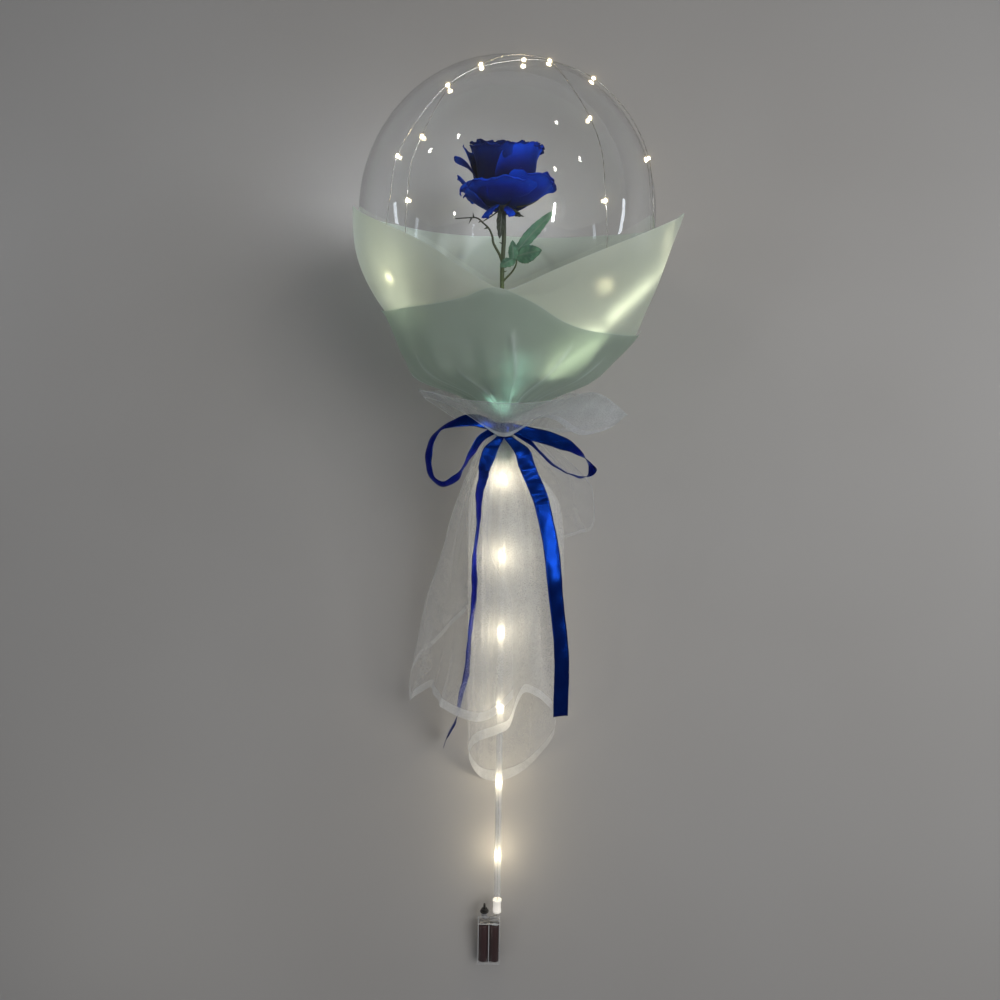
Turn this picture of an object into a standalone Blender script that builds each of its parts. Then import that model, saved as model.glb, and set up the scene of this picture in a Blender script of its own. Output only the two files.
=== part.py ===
"""Light-up rose balloon, lying down.

A clear round balloon on a clear tube. A string of small lights runs up inside the tube and twice
over the balloon. Two sheets of frosted film wrap the balloon's lower half, and tulle and a ribbon
bow are tied round the gathered film. A clear battery box with a push button ends the tube.

Everything is drawn upright, with Z along the tube and its zero at the ribbon tie, +X to the right
and -Y to the front. One empty then lays the whole object down on its back. World Z = 0 is the floor,
and the world origin lies under the balloon's centre.
"""
import bpy
import bmesh
from math import asin, atan2, cos, hypot, pi, radians, sin, sqrt
from mathutils import Vector

# Balloon
BALLOON_RADIUS = 0.183
BALLOON_RISE = 0.073          # lowest point of the round part above the ribbon tie
FLAT_RADIUS = 0.045           # the balloon is pressed flat where it lies
TAPER_ANGLE = 150.0           # degrees from the top, where the round part turns into the neck
NECK_WALL = 0.0022
NECK_BOTTOM = 0.028
NECK_TOP = 0.045

# Tube and battery box
TUBE_RADIUS = 0.0045
TUBE_WALL = 0.001
TUBE_TOP = 0.060
TUBE_LENGTH = 0.677
SLOT_WIDTH = 0.004
SLOT_LENGTH = 0.014
SLOT_CENTRE = 0.018
SOCKET_LENGTH = 0.023
SPIGOT_LENGTH = 0.012
WIRE_BORE_RADIUS = 0.0021
BOX_WALL = 0.0011
BOX_EDGE = 0.0005
SOCKET_INSET = 0.0008         # socket's outer side from the box's right side
CELL_RADIUS = 0.00725
CELL_LENGTH = 0.0492
CELL_TIP_RADIUS = 0.00275
CELL_TIP_LENGTH = 0.0013
CELL_END_ROOM = 0.0015        # for the contact springs
CELL_SIDE_ROOM = 0.0001
CELL_BACK_ROOM = 0.00065
BAY_WALL = 0.0012
SWITCH_ROOM = 0.0037          # free space under the switch, for its wires
SWITCH_FROM_LEFT = 0.0095     # switch axis from the box's left side
COLLAR_RADIUS = 0.0055
COLLAR_HEIGHT = 0.0042
SWITCH_BODY_RADIUS = 0.0038
SWITCH_BODY_DEPTH = 0.0085
BUTTON_RADIUS = 0.0015
BUTTON_HEIGHT = 0.0070
BUTTON_DEPTH = 0.0075         # how far the button reaches into the collar
BUTTON_TRAVEL = 0.0015

# Soft sheets
FILM = 0.001
TULLE = 0.0008
RIBBON = 0.0006
RIBBON_WIDTH = 0.020
TIE_HEIGHT = 0.012
TIE_RUN = 0.008               # the layers stay gathered this far above and below the tie's middle
FILM_OFF_BALLOON = 0.0070     # room for the wires between balloon and film
FILM_LAYER_GAP = 0.0025
TIE_LAYER_GAP = 0.0005        # gap between layers where the ribbon ties them
FILM_SKIRT = 0.045            # film below the tie
SKIRT_FLARE = 0.10
GATHER_RADIUS = 0.0075        # outer radius of the gathered film at the tie
FILM_SIDES = 32               # divisions all round, which both film sheets share

# Light string
WIRE_RADIUS = 0.0006
BEAD_RADIUS = 0.0018
BEAD_LENGTH = 0.0046
BEAD_PITCH = 0.100
WIRE_OFF_BALLOON = 0.0022     # front loop, measured to the wire's middle
UPPER_LOOP_LIFT = 0.0016      # the second loop passes over the first
WIRE_STEP = 0.034
TOP_TUBE_BEAD = -0.064        # highest bead in the tube

FIT = 0.0003                  # clearance between neighbouring pieces
SLIDE_FIT = 0.0003
BALLOON_STEPS = FILM_SIDES
ROUND_STEPS = 20

# Heights that follow from the sizes above
BALLOON_CENTRE = BALLOON_RISE + BALLOON_RADIUS
TUBE_BOTTOM = TUBE_TOP - TUBE_LENGTH
BOX_TOP = TUBE_BOTTOM - SOCKET_LENGTH
CELL_BAY_LENGTH = CELL_LENGTH + CELL_TIP_LENGTH + 2 * CELL_END_ROOM
BOX_LENGTH = CELL_BAY_LENGTH + BAY_WALL + SWITCH_BODY_DEPTH + SWITCH_ROOM + BOX_WALL
BOX_WIDTH = 2 * BOX_WALL + 4 * (CELL_RADIUS + CELL_SIDE_ROOM / 2)
BOX_THICKNESS = 2 * (CELL_RADIUS + BOX_WALL + CELL_BACK_ROOM)
BOX_BOTTOM = BOX_TOP - BOX_LENGTH
BOX_X = TUBE_RADIUS + SOCKET_INSET - BOX_WIDTH / 2
SWITCH_X = BOX_X - BOX_WIDTH / 2 + SWITCH_FROM_LEFT
NECK_BORE = TUBE_RADIUS + FIT
NECK_RADIUS = NECK_BORE + NECK_WALL

# The lean of the lying object: the film under the balloon and the box's lower back edge both touch
# the floor.
CENTRE_HEIGHT = sqrt(BALLOON_RADIUS ** 2 - FLAT_RADIUS ** 2) + FIT + FILM
SPAN = BALLOON_CENTRE - (BOX_BOTTOM + BOX_EDGE)
HALF_BOX = BOX_THICKNESS / 2
LEAN = asin(CENTRE_HEIGHT / hypot(SPAN, HALF_BOX)) - atan2(HALF_BOX, SPAN)
TIE_FLOOR_HEIGHT = CENTRE_HEIGHT - BALLOON_CENTRE * sin(LEAN)


def floor_depth(z):
    """How far behind the tube's axis the floor is, at height z along the tube."""
    return (TIE_FLOOR_HEIGHT + z * sin(LEAN)) / cos(LEAN)


def above_floor(point, clearance):
    """The point, moved forward where it would be nearer to the floor than clearance."""
    deepest = floor_depth(point.z) - clearance / cos(LEAN)
    return Vector((point.x, min(point.y, deepest), point.z))


# Scene, materials and the lying pose

for old in list(bpy.data.objects):
    bpy.data.objects.remove(old, do_unlink=True)

parts = bpy.data.collections.new("light_up_rose_balloon")
cutters = bpy.data.collections.new("cutters")
bpy.context.scene.collection.children.link(parts)
bpy.context.scene.collection.children.link(cutters)

lying = bpy.data.objects.new("lying_pose", None)
lying.rotation_euler = (LEAN - pi / 2, 0.0, 0.0)
lying.location = (0.0, -BALLOON_CENTRE * cos(LEAN), TIE_FLOOR_HEIGHT)
parts.objects.link(lying)


def material(name, colour, roughness, metallic=0.0, alpha=1.0):
    """A plain Principled material."""
    made = bpy.data.materials.new(name)
    made.use_nodes = True
    shader = made.node_tree.nodes["Principled BSDF"]
    shader.inputs["Base Color"].default_value = (*colour, 1.0)
    shader.inputs["Roughness"].default_value = roughness
    shader.inputs["Metallic"].default_value = metallic
    shader.inputs["Alpha"].default_value = alpha
    return made


CLEAR = material("clear_balloon", (0.95, 0.97, 0.98), 0.04, alpha=0.35)
CLEAR_HARD = material("clear_hard_plastic", (0.90, 0.90, 0.90), 0.10, alpha=0.5)
FROSTED = material("frosted_film", (0.62, 0.74, 0.70), 0.35)
NET = material("white_tulle", (0.90, 0.91, 0.92), 0.80)
SATIN = material("blue_satin", (0.01, 0.02, 0.16), 0.35)
LIGHTS = material("light_string", (1.0, 0.93, 0.75), 0.30)
BLACK = material("black_plastic", (0.02, 0.02, 0.02), 0.40)
CELL = material("dark_red_cell", (0.12, 0.03, 0.03), 0.35)


def name_object(made, name, look, collection=parts):
    """Give an object its name, material and collection, and lay it down with the rest."""
    for other in list(made.users_collection):
        other.objects.unlink(made)
    collection.objects.link(made)
    made.name = name
    made.data.materials.clear()
    made.data.materials.append(look)
    made.parent = lying
    return made


def shade(made, angle=radians(40)):
    """Smooth shading with sharp corners kept."""
    made.data.shade_smooth()
    made.data.set_sharp_from_angle(angle=angle)


def evaluated_mesh(made):
    """The object with its modifiers applied, as a mesh object in the same place."""
    bpy.context.view_layer.update()
    seen = made.evaluated_get(bpy.context.evaluated_depsgraph_get())
    mesh = bpy.data.meshes.new_from_object(seen)
    merged = bmesh.new()
    merged.from_mesh(mesh)
    bmesh.ops.remove_doubles(merged, verts=merged.verts, dist=0.00001)
    merged.to_mesh(mesh)
    merged.free()
    fixed = bpy.data.objects.new(made.name, mesh)
    fixed.matrix_world = made.matrix_world
    bpy.data.objects.remove(made, do_unlink=True)
    parts.objects.link(fixed)
    return fixed


def turned(name, profile, look, steps, closed=False):
    """A solid turned about the tube's axis from (radius, height) points, outer side downward."""
    outline = bmesh.new()
    points = [outline.verts.new((radius, 0.0, height)) for radius, height in profile]
    for first, second in zip(points, points[1:]):
        outline.edges.new((first, second))
    if closed:
        outline.edges.new((points[-1], points[0]))
    mesh = bpy.data.meshes.new(name)
    outline.to_mesh(mesh)
    outline.free()
    made = bpy.data.objects.new(name, mesh)
    parts.objects.link(made)
    screw = made.modifiers.new("turn", "SCREW")
    screw.steps = steps
    screw.render_steps = steps
    screw.use_merge_vertices = True
    screw.merge_threshold = 0.00001
    screw.use_smooth_shade = True
    return name_object(evaluated_mesh(made), name, look)


def rod(name, radius, bottom, top, x=0.0, look=CLEAR_HARD, steps=ROUND_STEPS, collection=parts):
    """A plain cylinder along Z."""
    bpy.ops.mesh.primitive_cylinder_add(vertices=steps, radius=radius, depth=top - bottom)
    made = bpy.context.object
    for vertex in made.data.vertices:
        vertex.co += Vector((x, 0.0, (top + bottom) / 2))
    return name_object(made, name, look, collection)


def block(name, low, high, look=CLEAR_HARD, collection=parts):
    """A plain box between two corners."""
    bpy.ops.mesh.primitive_cube_add(size=1.0)
    made = bpy.context.object
    low, high = Vector(low), Vector(high)
    middle, size = (low + high) / 2, high - low
    for vertex in made.data.vertices:
        vertex.co = middle + Vector(a * b for a, b in zip(vertex.co, size))
    return name_object(made, name, look, collection)


def combine(made, tool, operation):
    """Join a tool to an object, or cut it away."""
    name_object(tool, tool.name, tool.data.materials[0], cutters)
    tool.hide_render = True
    tool.display_type = "WIRE"
    change = made.modifiers.new(operation.lower() + "_" + tool.name, "BOOLEAN")
    change.operation = operation
    change.object = tool


def smooth_path(points, samples):
    """A smooth curve through chosen points, with the given number of samples for each stretch."""
    ends = [2 * points[0] - points[1]] + list(points) + [2 * points[-1] - points[-2]]
    path = []
    for index in range(1, len(ends) - 2):
        before, first, second, after = ends[index - 1:index + 3]
        for step in range(samples):
            t = step / samples
            path.append(0.5 * (2 * first + (second - before) * t
                               + (2 * before - 5 * first + 4 * second - after) * t ** 2
                               + (3 * first - before - 3 * second + after) * t ** 3))
    return path + [points[-1].copy()]


def ease(low, high, at):
    """Rise smoothly from 0 at low to 1 at high."""
    t = min(1.0, max(0.0, (at - low) / (high - low)))
    return t * t * (3 - 2 * t)


def read_table(rows, at):
    """The values of a table of (position, value, ...) rows at one position, on smooth curves."""
    if at <= rows[0][0]:
        return list(rows[0][1:])
    if at >= rows[-1][0]:
        return list(rows[-1][1:])
    after = next(index for index, row in enumerate(rows) if at < row[0])
    first, second = rows[after - 1], rows[after]
    before, later = rows[max(after - 2, 0)], rows[min(after + 1, len(rows) - 1)]
    step = second[0] - first[0]
    t = (at - first[0]) / step
    values = []
    for a, b, c, d in zip(before[1:], first[1:], second[1:], later[1:]):
        leaving = (c - a) / (second[0] - before[0]) * step
        arriving = (d - b) / (later[0] - first[0]) * step
        values.append(b + leaving * t + (3 * (c - b) - 2 * leaving - arriving) * t ** 2
                      + (leaving + arriving - 2 * (c - b)) * t ** 3)
    return values


def sheet(name, across, down, place, thickness, look, closed=False):
    """A thin solid sheet from a grid whose points place(u, v) sets. The grid is its outer side."""
    bpy.ops.mesh.primitive_grid_add(x_subdivisions=across, y_subdivisions=down, size=1.0)
    made = bpy.context.object
    for vertex in made.data.vertices:
        vertex.co = place(vertex.co.x + 0.5, vertex.co.y + 0.5)
    shaped = bmesh.new()
    shaped.from_mesh(made.data)
    if closed:
        bmesh.ops.remove_doubles(shaped, verts=shaped.verts, dist=0.00001)
    shaped.to_mesh(made.data)
    shaped.free()
    skin = made.modifiers.new("thickness", "SOLIDIFY")
    skin.thickness = thickness
    skin.offset = -1.0
    return name_object(made, name, look)


def around(azimuth, radius, z):
    """A point round the tube: 0 degrees is the front, 90 the right, 180 the back."""
    angle = radians(azimuth)
    return Vector((radius * sin(angle), -radius * cos(angle), z))


# Balloon

def taper_corner():
    """The bend between the round part and the neck, in radius and height."""
    angle = radians(TAPER_ANGLE)
    edge = Vector((BALLOON_RADIUS * sin(angle), BALLOON_CENTRE + BALLOON_RADIUS * cos(angle)))
    corner_radius = NECK_RADIUS + 0.07 * BALLOON_RADIUS
    slide = (edge.x - corner_radius) / -cos(angle)
    return edge, Vector((corner_radius, edge.y - slide * sin(angle)))


def balloon_surface(polar, clearance=0.0):
    """Radius and height of the balloon's skin, at an angle in degrees from its top."""
    if polar <= TAPER_ANGLE:
        angle = radians(polar)
        reach = BALLOON_RADIUS + clearance
        return Vector((reach * sin(angle), BALLOON_CENTRE + reach * cos(angle)))
    edge, corner = taper_corner()
    neck = Vector((NECK_RADIUS, NECK_TOP))
    t = (polar - TAPER_ANGLE) / (180.0 - TAPER_ANGLE)
    point = edge * (1 - t) ** 2 + corner * (2 * t * (1 - t)) + neck * t ** 2
    along = (corner - edge) * (1 - t) + (neck - corner) * t
    outward = Vector((-along.y, along.x)).normalized()
    return point + outward * clearance


def make_balloon():
    """The balloon is solid here. Its neck is a sleeve over the top of the tube."""
    rounds = 12
    profile = [balloon_surface(TAPER_ANGLE * step / rounds) for step in range(rounds + 1)]
    profile += [balloon_surface(TAPER_ANGLE + (180.0 - TAPER_ANGLE) * t) for t in (0.33, 0.66, 1.0)]
    profile[0].x = 0.0
    profile += [Vector((NECK_RADIUS, NECK_BOTTOM)), Vector((NECK_BORE, NECK_BOTTOM)),
                Vector((NECK_BORE, TUBE_TOP + FIT)), Vector((0.0, TUBE_TOP + FIT))]
    balloon = turned("balloon", profile, CLEAR, BALLOON_STEPS)
    for vertex in balloon.data.vertices:
        vertex.co = above_floor(vertex.co, FILM + FIT)
    shade(balloon)


# Film wrap

# Half the width of the wrap on each side, at heights from the tie up.
FILM_PROFILE = [(TIE_RUN, 0.0, 0.0), (0.020, 0.014, 0.014), (0.038, 0.041, 0.048),
                (0.057, 0.090, 0.092), (0.085, 0.112, 0.124), (0.115, 0.127, 0.153),
                (0.145, 0.143, 0.167), (0.184, 0.163, 0.184), (0.237, 0.177, 0.203),
                (0.268, 0.180, 0.212), (0.300, 0.181, 0.214)]

# Upper edge of the back sheet: azimuth, height.
BACK_SHEET_TOP = [(-180, 0.293), (-130, 0.285), (-98, 0.272), (-80, 0.264), (-60, 0.236), (-40, 0.206),
                  (-28, 0.186), (-18, 0.165), (-7, 0.147), (0, 0.141), (18, 0.162), (44, 0.200),
                  (70, 0.242), (90, 0.270), (108, 0.272), (140, 0.285), (180, 0.293)]

# Upper edge of the front sheet: azimuth, height.
FRONT_SHEET_TOP = [(-90, 0.146), (-72, 0.137), (-36, 0.131), (-18, 0.135), (-5, 0.143), (9, 0.132),
                   (27, 0.113), (45, 0.106), (81, 0.115), (90, 0.126)]
FRONT_SHEET_SPAN = (-90.0, 90.0)


def balloon_half_width(z):
    """Radius of the balloon's round part at height z, or zero beyond it."""
    off_centre = z - BALLOON_CENTRE
    return sqrt(max(0.0, BALLOON_RADIUS ** 2 - off_centre ** 2))


def film_radius(azimuth, z):
    """Outer radius of the back sheet."""
    if z <= 0.0:
        return GATHER_RADIUS + SKIRT_FLARE * max(0.0, -z - TIE_RUN)
    left, right = read_table(FILM_PROFILE, z)
    to_right = max(0.0, cos(radians(azimuth - 90.0))) ** 2
    radius = GATHER_RADIUS + left + (right - left) * to_right
    over_balloon = balloon_half_width(z) + FILM_OFF_BALLOON + FILM
    pleats = ease(TIE_RUN, 0.04, z) * (1 - ease(0.06, 0.16, z))
    radius *= 1 + 0.035 * pleats * cos(radians(8.0 * azimuth))
    return max(radius, over_balloon)


def front_sheet_lift(z):
    """How far the front sheet's outer side is outside the back sheet's."""
    return FILM + TIE_LAYER_GAP + FILM_LAYER_GAP * ease(TIE_RUN, 0.02, z)


def film_sheet(name, span, top_edge, upper_rows, lift):
    """One sheet of film. lift(z) gives its outer side's distance from the back sheet's."""
    first, last = span
    columns = round((last - first) / 360.0 * FILM_SIDES)
    levels = [-FILM_SKIRT, -TIE_RUN, TIE_RUN, 0.020, 0.038, 0.057, 0.085, 0.105]
    rows = len(levels) - 1 + upper_rows

    def place(u, v):
        azimuth = first + (last - first) * u
        top = read_table(top_edge, azimuth)[0]
        row = round(v * rows)
        if row < len(levels):
            z = levels[row]
        else:
            share = (row - len(levels) + 1) / upper_rows
            z = levels[-1] + (top - levels[-1]) * share
        point = around(azimuth, film_radius(azimuth, z) + lift(z), z)
        return above_floor(point, 0.0)

    made = sheet(name, columns, rows, place, FILM, FROSTED, closed=last - first > 359.0)
    shade(made)


def make_film():
    film_sheet("wrap_back", (-180.0, 180.0), BACK_SHEET_TOP, 6, lambda z: 0.0)
    film_sheet("wrap_front", FRONT_SHEET_SPAN, FRONT_SHEET_TOP, 2, front_sheet_lift)


# Tulle

# Outer radii of the gathered layers at the tie, from the inside out.
INNER_TULLE = GATHER_RADIUS + FILM + 2 * TIE_LAYER_GAP + TULLE + FIT
OUTER_TULLE = INNER_TULLE + TULLE + TIE_LAYER_GAP
COLLAR_OFF_FILM = FILM_LAYER_GAP + FILM + TULLE + 0.0022
COLLAR_FOLD_WIDTH = 0.005

# Fold line and lower hem of the collar: azimuth, fold x y z, hem x y z.
COLLAR_EDGES = [
    (-180, 0.000, 0.112, 0.058, 0.000, 0.046, -0.004), (-145, -0.064, 0.092, 0.056, -0.026, 0.044, 0.000),
    (-110, -0.098, 0.042, 0.048, -0.058, 0.026, 0.008), (-90, -0.104, -0.010, 0.046, -0.096, -0.010, 0.034),
    (-60, -0.092, -0.064, 0.052, -0.060, -0.037, 0.022), (-30, -0.056, -0.100, 0.058, -0.026, -0.039, 0.001),
    (0, 0.000, -0.114, 0.060, 0.000, -0.039, -0.012), (28, 0.052, -0.104, 0.058, 0.030, -0.037, 0.003),
    (45, 0.082, -0.086, 0.054, 0.046, -0.032, 0.013), (60, 0.104, -0.062, 0.048, 0.064, -0.022, 0.010),
    (75, 0.128, -0.036, 0.036, 0.096, -0.014, -0.008), (90, 0.152, -0.006, 0.017, 0.143, -0.006, 0.006),
    (110, 0.110, 0.044, 0.044, 0.074, 0.030, -0.004), (145, 0.066, 0.092, 0.056, 0.026, 0.044, -0.002),
    (180, 0.000, 0.112, 0.058, 0.000, 0.046, -0.004)]


def make_collar():
    """The collar leaves the tie, follows the film outward, folds over and falls back as a hem."""
    inner_rows, outer_rows = 4, 2
    rows = 1 + inner_rows + outer_rows

    def place(u, v):
        azimuth = -180.0 + 360.0 * u
        edges = read_table(COLLAR_EDGES, azimuth)
        fold, hem = Vector(edges[:3]), Vector(edges[3:])
        row = round(v * rows)
        if row == 0:
            return around(azimuth, INNER_TULLE, TIE_HEIGHT / 4)
        if row <= inner_rows:
            share = (row - 1) / inner_rows
            z = TIE_RUN + (fold.z * 0.93 - TIE_RUN) * share
            tight = FILM + TULLE + 3 * TIE_LAYER_GAP + FIT
            radius = film_radius(azimuth, z) + tight + (COLLAR_OFF_FILM - tight) * ease(0.0, 0.2, share)
            radius += max(0.0, hypot(fold.x, fold.y) - radius - 0.003) * share ** 3
            return around(azimuth, radius, z)
        share = (row - 1 - inner_rows) / outer_rows
        if share == 0.0:
            return fold
        outward = Vector((fold.x, fold.y, 0.0)).normalized() * COLLAR_FOLD_WIDTH
        fallen = (share - 1 / outer_rows) / (1 - 1 / outer_rows)
        point = (fold + outward + Vector((0.0, 0.0, -COLLAR_FOLD_WIDTH))).lerp(hem, fallen)
        point.z += 0.004 * sin(pi * fallen)
        return point * (1 + 0.02 * sin(radians(azimuth * 11)) * fallen)

    made = sheet("tulle_collar", FILM_SIDES, rows, place, TULLE, NET, closed=True)
    shade(made)


# Half widths of the hanging tulle: height, right, left, front, back.
TAIL_WIDTHS = [(-0.490, 0.046, 0.032, 0.016, 0.046), (-0.455, 0.060, 0.037, 0.018, 0.044),
               (-0.400, 0.072, 0.041, 0.021, 0.040), (-0.300, 0.074, 0.041, 0.022, 0.036),
               (-0.210, 0.075, 0.041, 0.023, 0.032), (-0.100, 0.070, 0.040, 0.024, 0.028),
               (-0.055, 0.042, 0.030, 0.020, 0.022), (-TIE_RUN, *[INNER_TULLE] * 4)]

# Lower hem of the hanging tulle: azimuth, height.
TAIL_HEM = [(-165, -0.482), (-120, -0.455), (-90, -0.430), (-45, -0.410), (-15, -0.388), (12, -0.372),
            (40, -0.338), (70, -0.352), (90, -0.388), (120, -0.440), (150, -0.470), (165, -0.484)]
TAIL_SPAN = (-165.0, 165.0)


def tail_folds(angle, z):
    """How the tulle's folds swell it, at an angle round its section."""
    return 1 + 0.10 * ease(TIE_RUN, 0.08, -z) * sin(7 * angle + 1.0)


def tail_reach(azimuth, z):
    """Distance from the tube's axis to the hanging tulle's outer side."""
    right, left, front, back = read_table(TAIL_WIDTHS, z)
    across, ahead = sin(radians(azimuth)), cos(radians(azimuth))
    wide = right if across > 0 else left
    deep = front if ahead > 0 else back
    return tail_folds(atan2(across / wide, ahead / deep), z) / hypot(across / wide, ahead / deep)


def make_tail():
    """A loosely rolled length of tulle round the tube, open down its back."""
    rows = 11

    def place(u, v):
        azimuth = TAIL_SPAN[0] + (TAIL_SPAN[1] - TAIL_SPAN[0]) * u
        hem = read_table(TAIL_HEM, azimuth)[0]
        row = round((1 - v) * rows)
        if row == 0:
            return around(azimuth, INNER_TULLE, -TIE_HEIGHT / 4)
        z = -TIE_RUN + (hem + TIE_RUN) * (row - 1) / (rows - 1)
        right, left, front, back = read_table(TAIL_WIDTHS, z)
        angle = radians(azimuth)
        wide = right if azimuth > 0 else left
        deep = front if abs(azimuth) < 90 else back
        point = Vector((wide * sin(angle), -deep * cos(angle), 0.0)) * tail_folds(angle, z)
        point.z = z
        return above_floor(point, 0.0015)

    made = sheet("tulle_tail", 24, rows, place, TULLE, NET)
    shade(made)


# Hem of the veil: share of the way round, azimuth, radius, height.
VEIL_HEM = [(0.00, -31, 0.078, -0.320), (0.14, -58, 0.086, -0.334), (0.32, -113, 0.136, -0.372),
            (0.42, -123, 0.126, -0.310), (0.58, -180, 0.086, -0.215), (0.76, -222, 0.088, -0.160),
            (0.88, -256, 0.100, -0.136), (0.95, -268, 0.124, -0.122), (1.00, -276, 0.108, -0.072)]
VEIL_OFF_TAIL = 0.005
VEIL_TURN = 37.0              # degrees that the veil's front edge swings in from its upper part


def make_veil():
    """The outer tulle: long at the left, low behind the tube, and a short flap at the right."""
    rows = 8

    def place(u, v):
        azimuth, reach, hem = read_table(VEIL_HEM, 1 - u)
        row = round((1 - v) * rows)
        fall = max(0, row - 1) / (rows - 1)
        azimuth -= VEIL_TURN * u ** 4 * (1 - ease(0.35, 0.62, fall))
        if row == 0:
            return around(azimuth, OUTER_TULLE, -TIE_HEIGHT / 4)
        z = -TIE_RUN + (hem + TIE_RUN) * fall
        radius = OUTER_TULLE + (reach - OUTER_TULLE) * fall ** 0.55
        radius *= 1 + 0.05 * ease(0.1, 0.4, fall) * sin(40.0 * u)
        if row > 1:
            radius = max(radius, tail_reach(azimuth, z) + VEIL_OFF_TAIL)
        return above_floor(around(azimuth, radius, z), 0.0015)

    made = sheet("tulle_veil", 20, rows, place, TULLE, NET)
    shade(made)


# Ribbon bow

def ribbon(name, points, samples):
    """A ribbon from rows of centre x y z, width direction x y z and share of the full width."""
    rows = smooth_path([Vector(row) for row in points], samples)
    count = len(rows) - 1

    def place(u, v):
        row = rows[round(v * count)]
        middle, direction = Vector(row[:3]), Vector(row[3:6]).normalized()
        return middle + direction * ((u - 0.5) * RIBBON_WIDTH * row[6])

    made = sheet(name, 1, count, place, RIBBON, SATIN)
    skin = made.modifiers["thickness"]
    skin.offset = 0.0
    shade(made)


LEFT_LOOP = [
    (-0.0100, -0.0235, 0.000, 0.0, 0.1, 1.0, 0.50), (-0.0212, -0.0245, 0.004, 0.1, 0.2, 1.0, 0.70),
    (-0.0399, -0.0250, 0.0085, 0.1, 0.4, 0.9, 0.85), (-0.0596, -0.0265, 0.006, 0.1, 0.7, 0.7, 0.95),
    (-0.0750, -0.0280, -0.001, 0.1, 0.95, 0.3, 1.0), (-0.0860, -0.0290, -0.014, 0.0, 1.0, 0.15, 1.0),
    (-0.0924, -0.0290, -0.031, -0.15, 1.0, 0.1, 1.0), (-0.0940, -0.0285, -0.048, -0.2, 1.0, 0.0, 1.0),
    (-0.0886, -0.0280, -0.063, -0.2, 1.0, -0.15, 1.0), (-0.0756, -0.0270, -0.0705, 0.0, 1.0, -0.3, 1.0),
    (-0.0602, -0.0265, -0.064, 0.15, 1.0, -0.2, 1.0), (-0.0498, -0.0265, -0.0525, 0.05, 1.0, 0.0, 1.0),
    (-0.0440, -0.0260, -0.040, 0.2, 1.0, 0.05, 0.95), (-0.0375, -0.0250, -0.026, 0.45, 0.9, -0.1, 0.85),
    (-0.0280, -0.0210, -0.013, 0.3, 0.6, -0.6, 0.65), (-0.0100, -0.0180, -0.003, 0.0, 0.1, -1.0, 0.45)]
RIGHT_LOOP = [
    (0.0100, -0.0235, 0.000, 0.0, 0.1, 1.0, 0.50), (0.0290, -0.0250, -0.006, 0.2, 0.2, 1.0, 0.80),
    (0.0510, -0.0260, -0.0115, 0.3, 0.3, 0.9, 0.90), (0.0700, -0.0280, -0.0185, 0.3, 0.55, 0.75, 0.95),
    (0.0870, -0.0290, -0.0260, 0.3, 0.85, 0.4, 1.0), (0.1015, -0.0295, -0.0355, 0.1, 1.0, 0.1, 1.0),
    (0.1095, -0.0290, -0.0460, -0.25, 1.0, 0.1, 1.0), (0.1090, -0.0280, -0.0550, -0.3, 1.0, -0.1, 1.0),
    (0.1010, -0.0270, -0.0600, -0.1, 1.0, -0.1, 1.0), (0.0915, -0.0265, -0.0605, 0.0, 1.0, -0.05, 1.0),
    (0.0795, -0.0260, -0.0565, 0.0, 1.0, 0.1, 1.0), (0.0670, -0.0255, -0.0480, -0.1, 1.0, 0.2, 1.0),
    (0.0520, -0.0245, -0.0360, -0.2, 0.9, 0.35, 0.95), (0.0370, -0.0225, -0.0220, -0.35, 0.6, 0.6, 0.80),
    (0.0220, -0.0195, -0.0105, -0.2, 0.3, 0.9, 0.60), (0.0100, -0.0180, -0.0030, 0.0, 0.1, 1.0, 0.45)]
LEFT_TAIL = [
    (-0.0040, -0.0180, -0.0108, 1.0, 0.0, 0.1, 0.50), (-0.0165, -0.0250, -0.028, 1.0, 0.1, -0.3, 0.85),
    (-0.0220, -0.0310, -0.046, 0.9, 0.5, -0.2, 0.90), (-0.0257, -0.0350, -0.063, 0.65, 0.8, 0.0, 0.95),
    (-0.0290, -0.0360, -0.089, 0.45, 0.9, 0.0, 1.0), (-0.0327, -0.0320, -0.140, 0.35, 0.95, 0.0, 1.0),
    (-0.0347, -0.0300, -0.190, 0.35, 0.95, 0.0, 1.0), (-0.0373, -0.0290, -0.249, 0.4, 0.9, 0.0, 1.0),
    (-0.0440, -0.0270, -0.310, 0.45, 0.9, 0.0, 1.0), (-0.0500, -0.0160, -0.347, 0.3, 0.95, 0.2, 1.0),
    (-0.0590, 0.0080, -0.387, 0.2, 0.9, 0.4, 1.0), (-0.0730, 0.0360, -0.425, 0.2, 0.8, 0.5, 1.0)]
RIGHT_TAIL = [
    (0.0040, -0.0235, -0.0108, 1.0, 0.0, 0.1, 0.55), (0.0240, -0.0310, -0.028, 1.0, 0.1, 0.3, 0.90),
    (0.0315, -0.0345, -0.045, 1.0, 0.1, 0.2, 1.0), (0.0385, -0.0365, -0.062, 1.0, 0.15, 0.2, 1.0),
    (0.0462, -0.0375, -0.079, 1.0, 0.2, 0.2, 1.0), (0.0508, -0.0375, -0.095, 1.0, 0.25, 0.2, 1.0),
    (0.0591, -0.0360, -0.139, 1.0, 0.3, 0.1, 1.0), (0.0654, -0.0330, -0.190, 1.0, 0.35, 0.1, 1.0),
    (0.0732, -0.0280, -0.249, 1.0, 0.4, 0.1, 1.0), (0.0780, -0.0210, -0.311, 1.0, 0.35, 0.0, 1.0),
    (0.0785, -0.0080, -0.371, 1.0, 0.2, 0.0, 1.0)]
KNOT_WIDTH = 0.015
KNOT_HEIGHT = 0.014
KNOT_DEPTH = 0.009
BAND_GAP = 0.0008


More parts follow.
